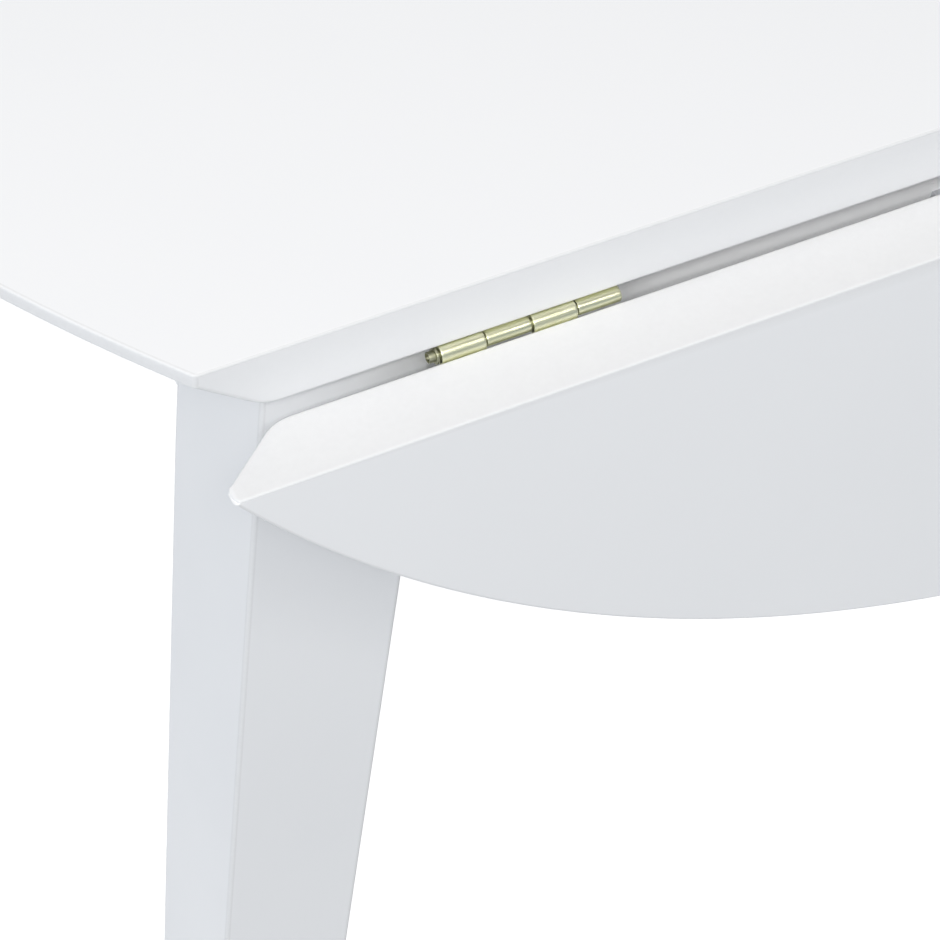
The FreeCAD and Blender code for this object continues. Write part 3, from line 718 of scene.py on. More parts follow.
@dataclass
class Top:
    """The round top: the fixed panel and the two leaves, cut from one disc with a thin rim.

    Attributes:
        radius: Radius of the disc.
        half_width: Half the fixed panel's width.
        height: Height of the top face.
        thickness: Thickness of the board.
        rim: Thickness of the rim.
        bevel_run: Width of the slope under the rim.
        bevel_blend: Radius between the slope and the flat underside.
        arris: Radius of the arrises.
        gap: Gap between the panel and a level leaf.
        rows: Number of sections across the panel.
        columns: Number of points on a flat of the panel's section.
        rays: Number of rays of a leaf.
        ray_steps: Number of points on a flat of a leaf's section.
        blend_steps: Number of steps along the blend.
        tip_loops: Number of loops on a leaf's rounded tip.
        panel_wear: How much painted shade the panel's joint faces get.
        leaf_wear: How much painted shade a leaf's joint face gets.
    """

    radius: float = 450 * MM
    half_width: float = 275 * MM
    height: float = 750 * MM
    thickness: float = 18 * MM
    rim: float = 4 * MM
    bevel_run: float = 14 * MM
    bevel_blend: float = 8 * MM
    arris: float = 0.6 * MM
    gap: float = 0.3 * MM
    rows: int = 121
    columns: int = 42
    rays: int = 261
    ray_steps: int = 22
    blend_steps: int = 14
    tip_loops: int = 12
    panel_wear: float = 0.3
    leaf_wear: float = 0.75

    @property
    def underside(self) -> float:
        """Height of the flat underside."""
        return self.height - self.thickness

    @property
    def half_chord(self) -> float:
        """Half the length of the panel's joint edge."""
        return math.sqrt(self.radius ** 2 - self.half_width ** 2)

    def edge_section(self, inset: float = 0.0) -> tuple:
        """The section of the disc's edge, from the top face over the rim to the flat underside.

        Each side of the sharp outline is moved inward by the inset, and each corner is rounded by its radius
        less the inset, so drawn-in sections stay parallel to the first.

        Args:
            inset: How far the section is drawn in.

        Returns:
            Radius and height of each point, and 1 for points on the arrises and the rim, which get the
            lacquer's painted shade.
        """
        fall = self.thickness - self.rim
        slant = math.hypot(self.bevel_run, fall)
        rim_radius = self.radius - inset
        rim_low = self.height - self.rim + inset * (slant - fall) / self.bevel_run
        floor = self.underside + inset
        knee = self.radius - self.bevel_run + inset * (self.bevel_run - slant) / fall
        inner = self.radius - self.bevel_run - self.bevel_blend
        top = self.height - inset
        corners = [(inner, top), (rim_radius, top), (rim_radius, rim_low), (knee, floor), (inner, floor)]
        least = 0.01 * self.arris
        arris = max(self.arris - inset, least)
        upper = corner_arc(*corners[0:3], arris, ARC_STEPS)
        lower = corner_arc(*corners[1:4], arris, ARC_STEPS)
        blend = corner_arc(*corners[2:5], self.bevel_blend - inset, self.blend_steps)
        hold = np.array([HOLD, 0.0])
        slope = (blend[0] - lower[-1]) * HOLD / slant
        chain = np.vstack([upper[0] - hold, upper, lower, lower[-1] + slope, blend, blend[-1] - hold])
        marks = np.zeros(len(chain))
        marks[1:1 + len(upper) + len(lower)] = 1.0
        return chain, marks

    def panel(self) -> Shell:
        """The fixed panel: rows across Y, each a loop round the board's section along X.

        A section point of radius r lies at x = sqrt(r^2 - y^2). Near a joint edge the loop is drawn in by
        a (1 - cos t) while y goes on by a sin t, which rounds the joint's arrises.

        Returns:
            The closed surface.
        """
        marks = self.edge_section()[1]
        limit = self.half_width - self.arris
        sweep = math.asin(limit / self.radius)
        main = self.radius * np.sin(np.linspace(-sweep, sweep, self.rows))
        main = np.r_[main[0], main[0] + HOLD, main[1:-1], main[-1] - HOLD, main[-1]]
        angle = np.linspace(0.0, math.pi / 2, ARC_STEPS + 1)[1:]
        out = limit + self.arris * np.sin(angle)
        drawn = self.arris * (1 - np.cos(angle))
        y = np.r_[-self.half_width, -out[::-1], main, out, self.half_width]
        inset = np.r_[self.arris + HOLD, drawn[::-1], np.zeros(len(main)), drawn, self.arris + HOLD]
        edge = np.stack([self.edge_section(amount)[0] for amount in inset])
        x = np.sqrt(np.maximum(edge[..., 0] ** 2 - y[:, None] ** 2, 0.0))
        share = np.linspace(1.0, -1.0, self.columns)[1:-1]
        under = x[:, -1:] * share
        over = -x[:, :1] * share
        loop_x = np.hstack([x, under, -x[:, ::-1], over])
        flat = np.ones(len(share))
        loop_z = np.hstack([edge[..., 1], edge[:, -1:, 1] * flat, edge[:, ::-1, 1], edge[:, :1, 1] * flat])
        loop_y = np.repeat(y[:, None], loop_x.shape[1], axis=1)
        around = np.r_[marks, 0 * share, marks[::-1], 0 * share]
        # Rows on the joint's rounded arrises get the full painted edge shade, and the joint faces get a share
        # of it.
        on_joint = (np.abs(y) > limit + WELD).astype(float)
        level = np.maximum(around[None], on_joint[:, None])
        level[[0, -1]] = self.panel_wear
        return grid_shell(np.stack([loop_x, loop_y, loop_z], axis=-1), level, caps=True)

    def leaf(self) -> Shell:
        """A level front leaf: rays from the middle of the table, each a loop round the leaf's section.

        A ray at angle t meets the joint edge at radius c / sin(t). Section points of a smaller radius are
        drawn to that radius, so the slope under the rim runs out on the joint edge as a cut does. Rays are
        closest near the two tips: t = 90 degrees + q sin(s) for s from -90 to 90 degrees.

        Returns:
            The closed surface.
        """
        chain, marks = self.edge_section()
        joint = self.half_width + self.gap
        plane = joint + self.arris
        widest = math.pi / 2 - math.asin(plane / (self.radius - 2 * self.arris))
        angle = math.pi / 2 + widest * np.sin(np.linspace(-math.pi / 2, math.pi / 2, self.rays))
        near = plane / np.sin(angle)
        radius = np.maximum(chain[None, :, 0], near[:, None])
        lower = chain[:, 1] < self.height - self.rim / 2
        order = np.argsort(chain[lower, 0])
        floor = np.interp(near, chain[lower, 0][order], chain[lower, 1][order])
        cut_off = (chain[None, :, 0] < near[:, None]) & lower[None]
        height = np.where(cut_off, floor[:, None], chain[None, :, 1])
        share = np.linspace(0.0, 1.0, self.ray_steps)[1:-1]
        under = radius[:, -1:] + (near[:, None] - radius[:, -1:]) * share
        over = near[:, None] + (radius[:, :1] - near[:, None]) * share
        tilt = np.linspace(0.0, math.pi / 2, ARC_STEPS + 1)
        rise = self.arris * (1 - np.cos(tilt))
        push = self.arris * np.sin(tilt)
        low = floor[:, None] + np.r_[rise, self.arris + HOLD]
        high = np.repeat(self.height - np.r_[rise, self.arris + HOLD][::-1][None], len(angle), axis=0)
        face_y = np.repeat(-plane + np.r_[push, self.arris, self.arris, push[::-1]][None], len(angle), axis=0)
        face_x = np.repeat((near * np.cos(angle))[:, None], face_y.shape[1], axis=1)
        far = np.hstack([radius, under])
        top_x = over * np.cos(angle)[:, None]
        top_y = -over * np.sin(angle)[:, None]
        loop_x = np.hstack([far * np.cos(angle)[:, None], face_x, top_x])
        loop_y = np.hstack([-far * np.sin(angle)[:, None], face_y, top_y])
        flat = np.ones(len(share))
        top_z = self.height * flat * np.ones((len(angle), 1))
        loop_z = np.hstack([height, floor[:, None] * flat, low, high, top_z])
        # The joint face and its arrises get a share of the lacquer's painted edge shade.
        around = np.r_[marks, 0 * share, np.full(low.shape[1] + high.shape[1], self.leaf_wear), 0 * share]
        return grid_shell(self.round_tips(np.stack([loop_x, loop_y, loop_z], axis=-1)), around, caps=True)

    def round_tips(self, loops: Array) -> Array:
        """Add loops at both ends that shrink to a rounded tip.

        A loop at angle f is the last one drawn towards its own middle by cos(f) and moved on by b sin(f).

        Args:
            loops: Rows of closed loops.

        Returns:
            The rows with the rounded tips before and after them.
        """
        bulge = 2 * self.arris
        nearly_quarter = 0.49 * math.pi
        swing = np.linspace(0.0, nearly_quarter, self.tip_loops)[1:, None, None]
        ends = []
        for loop, sign in ((loops[0], 1.0), (loops[-1], -1.0)):
            middle = loop.mean(axis=0)
            along = np.array([sign * bulge, 0.0, 0.0])
            ends.append(middle + (loop - middle) * np.cos(swing) + along * np.sin(swing))
        return np.concatenate([ends[0][::-1], loops, ends[1]])


@dataclass
class Hinges:
    """The brass butt hinges: plates with rolled knuckles and countersunk holes, and headed pins.

    Attributes:
        top: The round top that they join.
        length: Length of a hinge.
        end_distance: Distance from the joint's end to the hinge.
        plate_width: Distance from the pin to a plate's far edge.
        plate: Thickness of a plate.
        barrel: Radius of the leaf's knuckles, and the most for the table's.
        table_barrel: Radius of the table's knuckles, which are rolled tighter.
        clearance: Gap between the knuckles and the board.
        pin: Radius of the pin.
        head: Radius of the pin's collar, and the length of collar and stub.
        collar: Length of the collar.
        stub: Radius of the stub.
        stub_wall: Thickness of the hollow stub's lip.
        stub_depth: Depth of its hollow.
        chamfer: Width of the chamfer on the pin's tip.
        knuckles: Number of knuckles.
        seam: Place and width of a knuckle's seam as angles, and its depth.
        knuckle_gap: Gap between knuckles.
        notch_gap: Gap between a knuckle and the other plate.
        running: Gap between the pin and its bore.
        screw_spread: Distance between a plate's screws.
        screw_head: Radius of a countersink at the plate's face.
        softness: Radius of the plates' and the pin's arrises.
        side_steps: Number of points on each side of a plate's half.
        barrel_steps: Number of points round a knuckle.
    """

    top: Top
    length: float = 48 * MM
    end_distance: float = 61 * MM
    plate_width: float = 10 * MM
    plate: float = 1.2 * MM
    barrel: float = 2.35 * MM
    table_barrel: float = 1.9 * MM
    clearance: float = 0.15 * MM
    pin: float = 1.2 * MM
    head: tuple = (2.1 * MM, 2.2 * MM)
    collar: float = 0.6 * MM
    stub: float = 1.4 * MM
    stub_wall: float = 0.35 * MM
    stub_depth: float = 1.6 * MM
    chamfer: float = 0.3 * MM
    knuckles: int = 4
    seam: tuple = (math.radians(8.0), math.radians(5.0), 0.3 * MM)
    knuckle_gap: float = 0.5 * MM
    notch_gap: float = 0.5 * MM
    running: float = 0.05 * MM
    screw_spread: float = 28 * MM
    screw_head: float = 2.75 * MM
    softness: float = 0.2 * MM
    side_steps: int = 14
    barrel_steps: int = 72

    @property
    def drop(self) -> float:
        """Distance of the pin below the underside."""
        return self.barrel + self.clearance

    @property
    def pin_point(self) -> Vector:
        """The middle of the front pin line."""
        return Vector((0.0, -self.top.half_width - self.top.gap / 2, self.top.underside - self.drop))

    @property
    def middle(self) -> float:
        """Distance of a hinge's middle from the middle of the table."""
        return self.top.half_chord - self.end_distance - self.length / 2

    def hung(self, side: Side) -> Matrix:
        """The move of a level front piece to a hanging leaf of one side."""
        pin = Matrix.Translation(self.pin_point)
        return side.turn @ pin @ Matrix.Rotation(math.pi / 2, 4, "X") @ pin.inverted()

    def at_pin(self, along: float) -> Matrix:
        """The move from the pin line's middle to a place along it."""
        return Matrix.Translation(self.pin_point + Vector((along, 0.0, 0.0)))

    def flat(self, sign: int) -> list:
        """The two halves of a plate, each with one countersunk hole.

        Args:
            sign: 1 for the table's plate, which lies inward of the pin, and -1 for the leaf's.

        Returns:
            The two surfaces, which meet at the plate's middle.
        """
        near = self.barrel + self.notch_gap
        face, back = self.drop - self.plate, self.drop
        radii = (self.screw_head, self.screw_head - self.plate)
        halves = []
        for end in (-1, 1):
            wide = self.half_outline(end, near, sign, 0.0)
            drawn = self.half_outline(end, near, sign, self.softness)
            hole = (end * self.screw_spread / 2, sign * (near + self.plate_width) / 2)
            shell = drilled_plate(wide, drawn, hole, radii, (face, back), self.softness)
            inside = np.abs(shell.points[:, 0]) < WELD
            shell.faces = [quad for quad in shell.faces if not inside[quad].all()]
            halves.append(shell)
        return halves

    def half_outline(self, end: int, near: float, sign: int, inset: float) -> Array:
        """The outline of half a plate, drawn in except at the plate's middle.

        Args:
            end: -1 for the left half and 1 for the right.
            near: Distance of the plate's near edge from the pin.
            sign: 1 inward of the pin and -1 outward.
            inset: How far the outline is drawn in.

        Returns:
            Points round the outline, with each side divided evenly.
        """
        far_x = end * (self.length / 2 - inset)
        low, high = sign * (near + inset), sign * (self.plate_width - inset)
        corners = np.array([(0.0, low), (far_x, low), (far_x, high), (0.0, high)])
        share = np.linspace(0.0, 1.0, self.side_steps, endpoint=False)[None, :, None]
        sides = corners[:, None] + (np.roll(corners, -1, axis=0) - corners)[:, None] * share
        return sides.reshape(-1, 2)

    def knuckle(self, index: int, sign: int) -> list:
        """One rolled knuckle: a barrel with a bore and a seam, and the tongue that carries it.

        The barrel's loop at angle a has radius R - g exp(-((a - s) / w)^2), whose dip is the seam where the
        rolled strip ends against its plate.

        Args:
            index: Number of the knuckle along the hinge.
            sign: 1 where the plate lies inward of the pin and -1 outward.

        Returns:
            The barrel's and the tongue's surfaces.
        """
        pitch = self.length / self.knuckles
        start = -self.length / 2 + index * pitch + self.knuckle_gap / 2
        finish = start + pitch - self.knuckle_gap
        soft = self.softness
        angle = np.linspace(0.0, 2 * math.pi, self.barrel_steps, endpoint=False)
        barrel = self.barrel if sign < 0 else self.table_barrel
        seam, seam_width, seam_depth = self.seam
        dip = seam_depth * np.exp(-((angle - seam) / seam_width) ** 2)
        bore = self.pin + self.running
        place = np.r_[start, start, start, start + 0.3 * soft, start + soft, start + soft + HOLD]
        radius = np.r_[bore, barrel - 2 * soft, barrel - soft, barrel - 0.3 * soft, barrel, barrel]
        place = np.r_[place, start + finish - place[::-1]]
        radius = np.r_[radius, radius[::-1]]
        round_off = np.clip((radius - bore) / (barrel - bore), 0.0, 1.0)
        loops = radius[:, None] - dip[None] * round_off[:, None]
        across = np.repeat(place[:, None], len(angle), axis=1)
        ring = np.stack([across, sign * loops * np.cos(angle), loops * np.sin(angle)], axis=-1)
        roll = grid_shell(ring, close_rows=True)
        low, high = self.drop - self.plate, barrel
        near, far = 0.0, sign * (self.barrel + self.notch_gap + 2 * soft)
        corners = [(near, low), (far, low), (far, high), (near, high)]
        slight = soft / 4
        outline, marks = rounded_outline(corners, slight, steps=2, hold=slight)
        return [roll, swept_bar(outline, marks, start, finish, soft / 2)]

    def headed_pin(self) -> Shell:
        """The pin: a bar through the knuckles, with a collar and a hollow stub and a chamfered tip.

        Its profile is turned about the X axis, from the stub's quarter ellipse of a hollow to the tip.

        Returns:
            The surface, along X.
        """
        head_radius, head_length = self.head
        face = -self.length / 2 - self.knuckle_gap / 2
        end, collar, far = face - head_length, face - self.collar, self.length / 2
        lip, soft = self.stub - self.stub_wall, self.softness
        angle = np.linspace(math.pi / 2, 0.0, 8)
        hollow = np.column_stack([lip * np.cos(angle), end + self.stub_depth * np.sin(angle)])
        edge = corner_arc((lip, end), (self.stub, end), (self.stub, face), soft, FEW_STEPS)
        step = corner_arc((self.stub, collar), (head_radius, collar), (head_radius, face), soft, FEW_STEPS)
        rest = [(head_radius, face - soft / 2), (head_radius - soft / 2, face), (self.pin, face),
                (self.pin, far - self.chamfer), (self.pin - self.chamfer, far), (0.0, far)]
        profile = np.vstack([hollow, edge, (self.stub, collar), step, rest])
        return turned(profile).placed(Matrix.Rotation(math.pi / 2, 4, "Y"))

    def build(self, shop: Workshop) -> None:
        """Make the twelve pieces of the four hinges.

        Args:
            shop: The workshop that makes the pieces.
        """
        for side in Side:
            for end in End:
                name = f"{side.word}_{end.word}_hinge"
                local = self.at_pin(end.along(side) * self.middle)
                for kind, sign, knuckles, move, body in (
                        ("table_plate", 1, (1, 3), side.turn @ local, "table"),
                        ("leaf_plate", -1, (0, 2), self.hung(side) @ local, side.word + "_leaf")):
                    shells = self.flat(sign)
                    for index in knuckles:
                        shells += self.knuckle(index, sign)
                    node = f"{name}_{kind}"
                    placed = [shell.placed(move) for shell in shells]
                    shop.piece("dressed_" + node, placed, "brass", body, [node])
                pin = self.headed_pin().placed(side.turn @ local)
                # The pin takes the darker brass as painted shade.
                shop.piece(f"dressed_{name}_pin", [pin], "brass", "table", [name + "_pin"], "brass_pin")


@dataclass
class Frame:
    """The legs, their glides and the aprons between them.

    Attributes:
        top: The round top that they carry.
        leg_top: Width of a leg's head.
        leg_foot: Width of a leg's foot.
        end_inset: Distance of the legs from the ends of the joint edges.
        side_inset: Distance of the legs from the joint edges.
        facet: Legs of the triangle cut off a head's inner corner.
        leg_round: Radius of the legs' arrises.
        foot_round: Radius of the feet's lower arrises.
        taper_rows: Number of sections along the taper.
        apron_height: Height of the aprons.
        apron_thickness: Thickness of the aprons.
        apron_setback: Distance of the aprons behind the legs' outer faces.
        apron_round: Radius of the aprons' arrises.
        apron_end_round: Radius of the arrises round the aprons' ends.
        glide_height: Height of a glide.
        glide_radius: Radius of a glide.
        glide_bevel: How much narrower a glide is at the floor.
        glide_rounds: Radius of a glide's lower and upper arrises.
    """

    top: Top
    leg_top: float = 44 * MM
    leg_foot: float = 32 * MM
    end_inset: float = 22.5 * MM
    side_inset: float = 10.5 * MM
    facet: float = 14 * MM
    leg_round: float = 1.0 * MM
    foot_round: float = 1.0 * MM
    taper_rows: int = 14
    apron_height: float = 75 * MM
    apron_thickness: float = 20 * MM
    apron_setback: float = 8 * MM
    apron_round: float = 1.2 * MM
    apron_end_round: float = 0.3 * MM
    glide_height: float = 4 * MM
    glide_radius: float = 12 * MM
    glide_bevel: float = 1.5 * MM
    glide_rounds: tuple = (1.0 * MM, 0.4 * MM)

    @property
    def leg_x(self) -> float:
        """Distance of the legs' outer faces from the middle, along X."""
        return self.top.half_chord - self.end_inset

    @property
    def leg_y(self) -> float:
        """Distance of the legs' outer faces from the middle, along Y."""
        return self.top.half_width - self.side_inset

    @property
    def apron_base(self) -> float:
        """Height of the aprons' lower edges, where the legs begin to taper."""
        return self.top.underside - self.apron_height

    def corner_move(self, corner: Corner) -> Matrix:
        """The move of a leg from the origin to its corner.

        Args:
            corner: The corner.

        Returns:
            The move as a four by four matrix.
        """
        x_sign, y_sign, turn = corner.value
        place = Vector((x_sign * self.leg_x, y_sign * self.leg_y, 0.0))
        return Matrix.Translation(place) @ Matrix.Rotation(turn, 4, "Z")

    def leg_section(self, width: float, cut: float) -> tuple:
        """A leg's section: a square with rounded corners, whose inner corner may be cut off.

        Args:
            width: Width of the square.
            cut: Legs of the triangle cut off the inner corner.

        Returns:
            The points and 1 for each point on an arris.
        """
        short = width - cut
        corners = [(0.0, 0.0), (width, 0.0), (width, short), (short, width), (0.0, width)]
        return rounded_outline(corners, self.leg_round)

    def leg(self) -> Shell:
        """A leg: sections stacked up Z, with a softened foot, a straight taper and a head with a facet.

        Returns:
            The closed surface with its outer corner on the Z axis.
        """
        sliver = 2.2 * self.leg_round
        base, floor, head = self.apron_base, self.glide_height, self.top.underside
        drawn, rise = soft_end(self.foot_round)
        heights = np.r_[floor + rise, np.linspace(floor + rise[-1], base, self.taper_rows)[1:]]
        widths = self.leg_foot + (self.leg_top - self.leg_foot) * (heights - floor) / (base - floor)
        inset = np.r_[drawn, np.zeros(len(heights) - len(drawn))]
        cuts = np.full(len(heights), sliver)
        heights = np.r_[heights, base, head - HOLD, head]
        widths = np.r_[widths, [self.leg_top] * 3]
        inset = np.r_[inset, [0.0] * 3]
        cuts = np.r_[cuts, [self.facet] * 3]
        loops = []
        marks = None
        for width, cut, pull in zip(widths, cuts, inset):
            outline, marks = self.leg_section(width, cut)
            middle = np.array([width / 2, width / 2])
            loops.append(middle + (outline - middle) * (1 - 2 * pull / width))
        flat = np.stack(loops)
        up = np.repeat(heights[:, None], flat.shape[1], axis=1)
        return grid_shell(np.concatenate([flat, up[..., None]], axis=-1), marks, caps=True)

    def glide(self) -> Shell:
        """A round glide under a foot, with a softened lower edge.

        Returns:
            The closed surface about the Z axis.
        """
        pole_low, pole_high = (0.0, 0.0), (0.0, self.glide_height)
        low, high = (self.glide_radius - self.glide_bevel, 0.0), (self.glide_radius, self.glide_height)
        foot = corner_arc(pole_low, low, high, self.glide_rounds[0], ARC_STEPS)
        shoulder = corner_arc(low, high, pole_high, self.glide_rounds[1], FEW_STEPS)
        hold = np.array([HOLD, 0.0])
        profile = np.vstack([pole_low, foot[0] - hold, foot, shoulder, shoulder[-1] - hold, pole_high])
        return turned(profile, sides=64)

    def apron(self, half: float, outer: float) -> Shell:
        """A front apron: a bar along X with rounded arrises.

        Args:
            half: Half its length.
            outer: Distance of its outer face from the middle.

        Returns:
            The closed surface.
        """
        back = -outer + self.apron_thickness
        corners = [(-outer, self.apron_base), (back, self.apron_base),
                   (back, self.top.underside), (-outer, self.top.underside)]
        outline, marks = rounded_outline(corners, self.apron_round)
        return swept_bar(outline, marks, -half, half, self.apron_end_round)

    def build(self, shop: Workshop) -> None:
        """Make the legs, the glides and the aprons.

        Args:
            shop: The workshop that makes the pieces.
        """
        leg = self.leg()
        glide = self.glide().placed(Matrix.Translation((self.leg_foot / 2, self.leg_foot / 2, 0.0)))
        for corner in Corner:
            move = self.corner_move(corner)
            word = corner.word
            # The legs take a darker copy of the lacquer as painted shade.
            shop.piece("dressed_leg_" + word, [leg.placed(move)], "white_lacquer", "table",
                       ["leg_" + word], "leg_lacquer")
            shop.piece("dressed_glide_" + word, [glide.placed(move)], "glide_plastic", "table",
                       ["foot_glide_" + word])
        long_apron = self.apron(self.leg_x - self.leg_top, self.leg_y - self.apron_setback)
        short_apron = self.apron(self.leg_y - self.leg_top, self.leg_x - self.apron_setback)
        quarter = Matrix.Rotation(math.pi / 2, 4, "Z")
        for word, shell, turn in (("front", long_apron, Matrix()), ("rear", long_apron, quarter @ quarter),
                                  ("right", short_apron, quarter), ("left", short_apron, quarter.inverted())):
            # The aprons take a lighter copy of the lacquer as painted light.
            shop.piece(f"dressed_{word}_apron", [shell.placed(turn)], "white_lacquer", "table",
                       [word + "_apron"], "apron_lacquer")


@dataclass
class Stays:
    """The arms of the folding stays and the rubber stops behind the hanging leaves.

    Attributes:
        hinges: The hinges, whose pin line the stays are measured from.
        frame_of_legs: The aprons that carry the stays.
        share: Place of a stay along half an apron.
        standoff: Distance of the long arm's pivot from the apron.
        anchor_drop: Distance of that pivot below the pin line.
        leaf_reach: Distance of the short arm's pivot from the pin line, along the leaf.
        leaf_standoff: Distance of that pivot from the leaf.
        elbow: Distance of the folded elbow inward of and below the pin line.
        arm_width: Width of an arm.
        arm: Thickness of an arm.
        arm_round: Radius of an arm's arrises.
        arm_steps: Number of points round an arm's end and along its side.
        rivet: Radius of a rivet.
        button: Radius and height of a rivet's button.
        plate: Thickness of the brackets' tabs.
        side_gap: Gap between neighbouring arms.
        running: Gap between a rivet and its hole.
        stop_share: Place of a stop along half an apron.
        stop_radius: Radius of a stop.
        stop_rounds: Radius of the arrises on a stop's base and nose.
        stop_drop: Distance of a stop below the pin line.
        stop_clearance: Gap between a stop and its hanging leaf.
    """

    hinges: Hinges
    frame_of_legs: Frame
    share: float = 0.416
    standoff: float = 7.4 * MM
    anchor_drop: float = 40 * MM
    leaf_reach: float = 80 * MM
    leaf_standoff: float = 7.8 * MM
    elbow: tuple = (12 * MM, 110 * MM)
    arm_width: float = 9 * MM
    arm: float = 2 * MM
    arm_round: float = 0.3 * MM
    arm_steps: tuple = (17, 24)
    rivet: float = 2 * MM
    button: tuple = (3.6 * MM, 1.2 * MM)
    plate: float = 2 * MM
    side_gap: float = 0.3 * MM
    running: float = 0.05 * MM
    stop_share: float = 0.764
    stop_radius: float = 6 * MM
    stop_rounds: tuple = (0.2 * MM, 1.8 * MM)
    stop_drop: float = 48 * MM
    stop_clearance: float = 0.3 * MM

    @property
    def half_apron(self) -> float:
        """Half the length of a long apron."""
        return self.frame_of_legs.leg_x - self.frame_of_legs.leg_top

    @property
    def apron_face(self) -> float:
        """Distance of the long apron's outer face inward of the pin line."""
        legs = self.frame_of_legs
        return -self.hinges.pin_point.y - (legs.leg_y - legs.apron_setback)

    def arm_shells(self, length: float, start: float, button_sign: int) -> list:
        """A flat arm that hangs down from its pivot: a bar with round ends, a hole and a domed button.

        The outline is a half circle at each end joined by straight sides. The button is a dome turned about
        the elbow, with height h cos(b) at radius r sin(b).

        Args:
            length: Distance between the pivot and the elbow.
            start: Lowest X of the arm.
            button_sign: Side of the arm that carries the button.

        Returns:
            The arm's and the button's surfaces, with the pivot on the X axis.
        """
        outline = self.round_bar(length, self.arm_width / 2)
        soft = self.arm_round
        drawn = self.round_bar(length, self.arm_width / 2 - soft)
        bore = self.rivet + self.running
        flat = drilled_plate(outline, drawn, (0.0, 0.0), (bore, bore), (start, start + self.arm), soft)
        lay = Matrix(((0, 0, 1, 0), (1, 0, 0, 0), (0, 1, 0, 0), (0, 0, 0, 1)))
        radius, height = self.button
        swing = np.linspace(0.0, math.pi / 2, 9)
        dome = np.column_stack([radius * np.sin(swing), height * np.cos(swing)])
        sunk = 0.5 * self.arm
        knob = turned(np.vstack([dome, (radius, -sunk), (0.0, -sunk)]), sides=40)
        face = start + self.arm if button_sign > 0 else start
        turn = Matrix.Rotation(button_sign * math.pi / 2, 4, "Y")
        return [flat.placed(lay), knob.placed(Matrix.Translation((face, 0.0, -length)) @ turn)]

    def round_bar(self, length: float, half: float) -> Array:
        """The outline of a bar with round ends, from its pivot at the origin down to its elbow.

        Args:
            length: Distance between the pivot and the elbow.
            half: Half the bar's width.

        Returns:
            Points round the outline, one row each.
        """
        around, along = self.arm_steps
        upper = np.linspace(0.0, math.pi, around)
        lower = np.linspace(math.pi, 2 * math.pi, around)
        top_end = np.column_stack([half * np.cos(upper), half * np.sin(upper)])
        low_end = np.column_stack([half * np.cos(lower), half * np.sin(lower) - length])
        share = np.linspace(0.0, 1.0, along)[1:-1, None]
        left = top_end[-1] + (low_end[0] - top_end[-1]) * share
        right = low_end[-1] + (top_end[0] - low_end[-1]) * share
        return np.vstack([top_end, left, low_end, right])

    def lean(self, pivot: Vector, tip: Vector) -> tuple:
        """The move that points an arm from its pivot at its tip.

        Args:
            pivot: Place of the pivot.
            tip: Place of the tip.

        Returns:
            The move, and the distance between the two places.
        """
        run = tip - pivot
        angle = math.atan2(run.y, -run.z)
        return Matrix.Translation(pivot) @ Matrix.Rotation(angle, 4, "X"), run.length

    def stop(self) -> Shell:
        """A rubber stop that sticks out of the front apron towards the hanging leaf, with a soft nose.

        Returns:
            The closed surface, with its base on the pin line's frame.
        """
        length = self.apron_face + self.hinges.drop - self.stop_clearance
        base, tip, low, high = (0.0, 0.0), (0.0, length), (self.stop_radius, 0.0), (self.stop_radius, length)
        flange = corner_arc(base, low, high, self.stop_rounds[0], steps=3)
        nose = corner_arc(low, high, tip, self.stop_rounds[1], steps=8)
        hold = np.array([HOLD, 0.0])
        profile = np.vstack([base, flange[0] - hold, flange, nose, nose[-1] - hold, tip])
        place = Matrix.Translation((0.0, self.apron_face, -self.stop_drop))
        return turned(profile).placed(place @ Matrix.Rotation(math.pi / 2, 4, "X"))

    def build(self, shop: Workshop) -> None:
        """Make the arms of the four stays and the set of stops.

        Args:
            shop: The workshop that makes the pieces.
        """
        hinges = self.hinges
        anchor = Vector((0.0, self.apron_face - self.standoff, -self.anchor_drop))
        pivot = Vector((0.0, self.leaf_standoff - hinges.drop, -self.leaf_reach))
        elbow = Vector((0.0, self.elbow[0], -self.elbow[1]))
        long_start = self.plate + self.side_gap
        short_start = long_start + self.arm + self.side_gap
        stops = []
        for side in Side:
            for end in End:
                base = side.turn @ hinges.at_pin(end.along(side) * self.share * self.half_apron)
                for kind, point, start, sign in (("long", anchor, long_start, -1),
                                                 ("short", pivot, short_start, 1)):
                    move, length = self.lean(point, elbow)
                    shells = [shell.placed(base @ move) for shell in self.arm_shells(length, start, sign)]
                    node = f"{side.word}_{end.word}_stay_{kind}_arm"
                    shop.piece("dressed_" + node, shells, "zinc_steel", node, [node])
                spot = hinges.at_pin(end.along(side) * self.stop_share * self.half_apron)
                stops.append(self.stop().placed(side.turn @ spot))
        shop.piece("dressed_leaf_stops", stops, "stop_rubber", "table", ["leaf_stops"])


# Studio

@dataclass(frozen=True)
class Lamp:
    """A soft rectangular lamp that lies along X and is tipped towards the table.

    Attributes:
        name: Name of the lamp.
        place: Its middle.
        size: Its length and width.
        power: Its power in watts.
        tip: Angle that it is tipped by, in degrees.
        colour: Colour of its light.
    """

    name: str
    place: tuple
    size: tuple
    power: float
    tip: float = 36.4
    colour: tuple = (1.0, 0.985, 0.965)

    def hang(self) -> None:
        """Add the lamp to the scene."""
        data = bpy.data.lights.new(self.name, "AREA")
        data.shape = "RECTANGLE"
        data.size, data.size_y = self.size
        data.energy = self.power
        data.color = self.colour
        turn = Matrix.Rotation(math.radians(self.tip), 4, "X")
        put(self.name, data).matrix_world = Matrix.Translation(self.place) @ turn


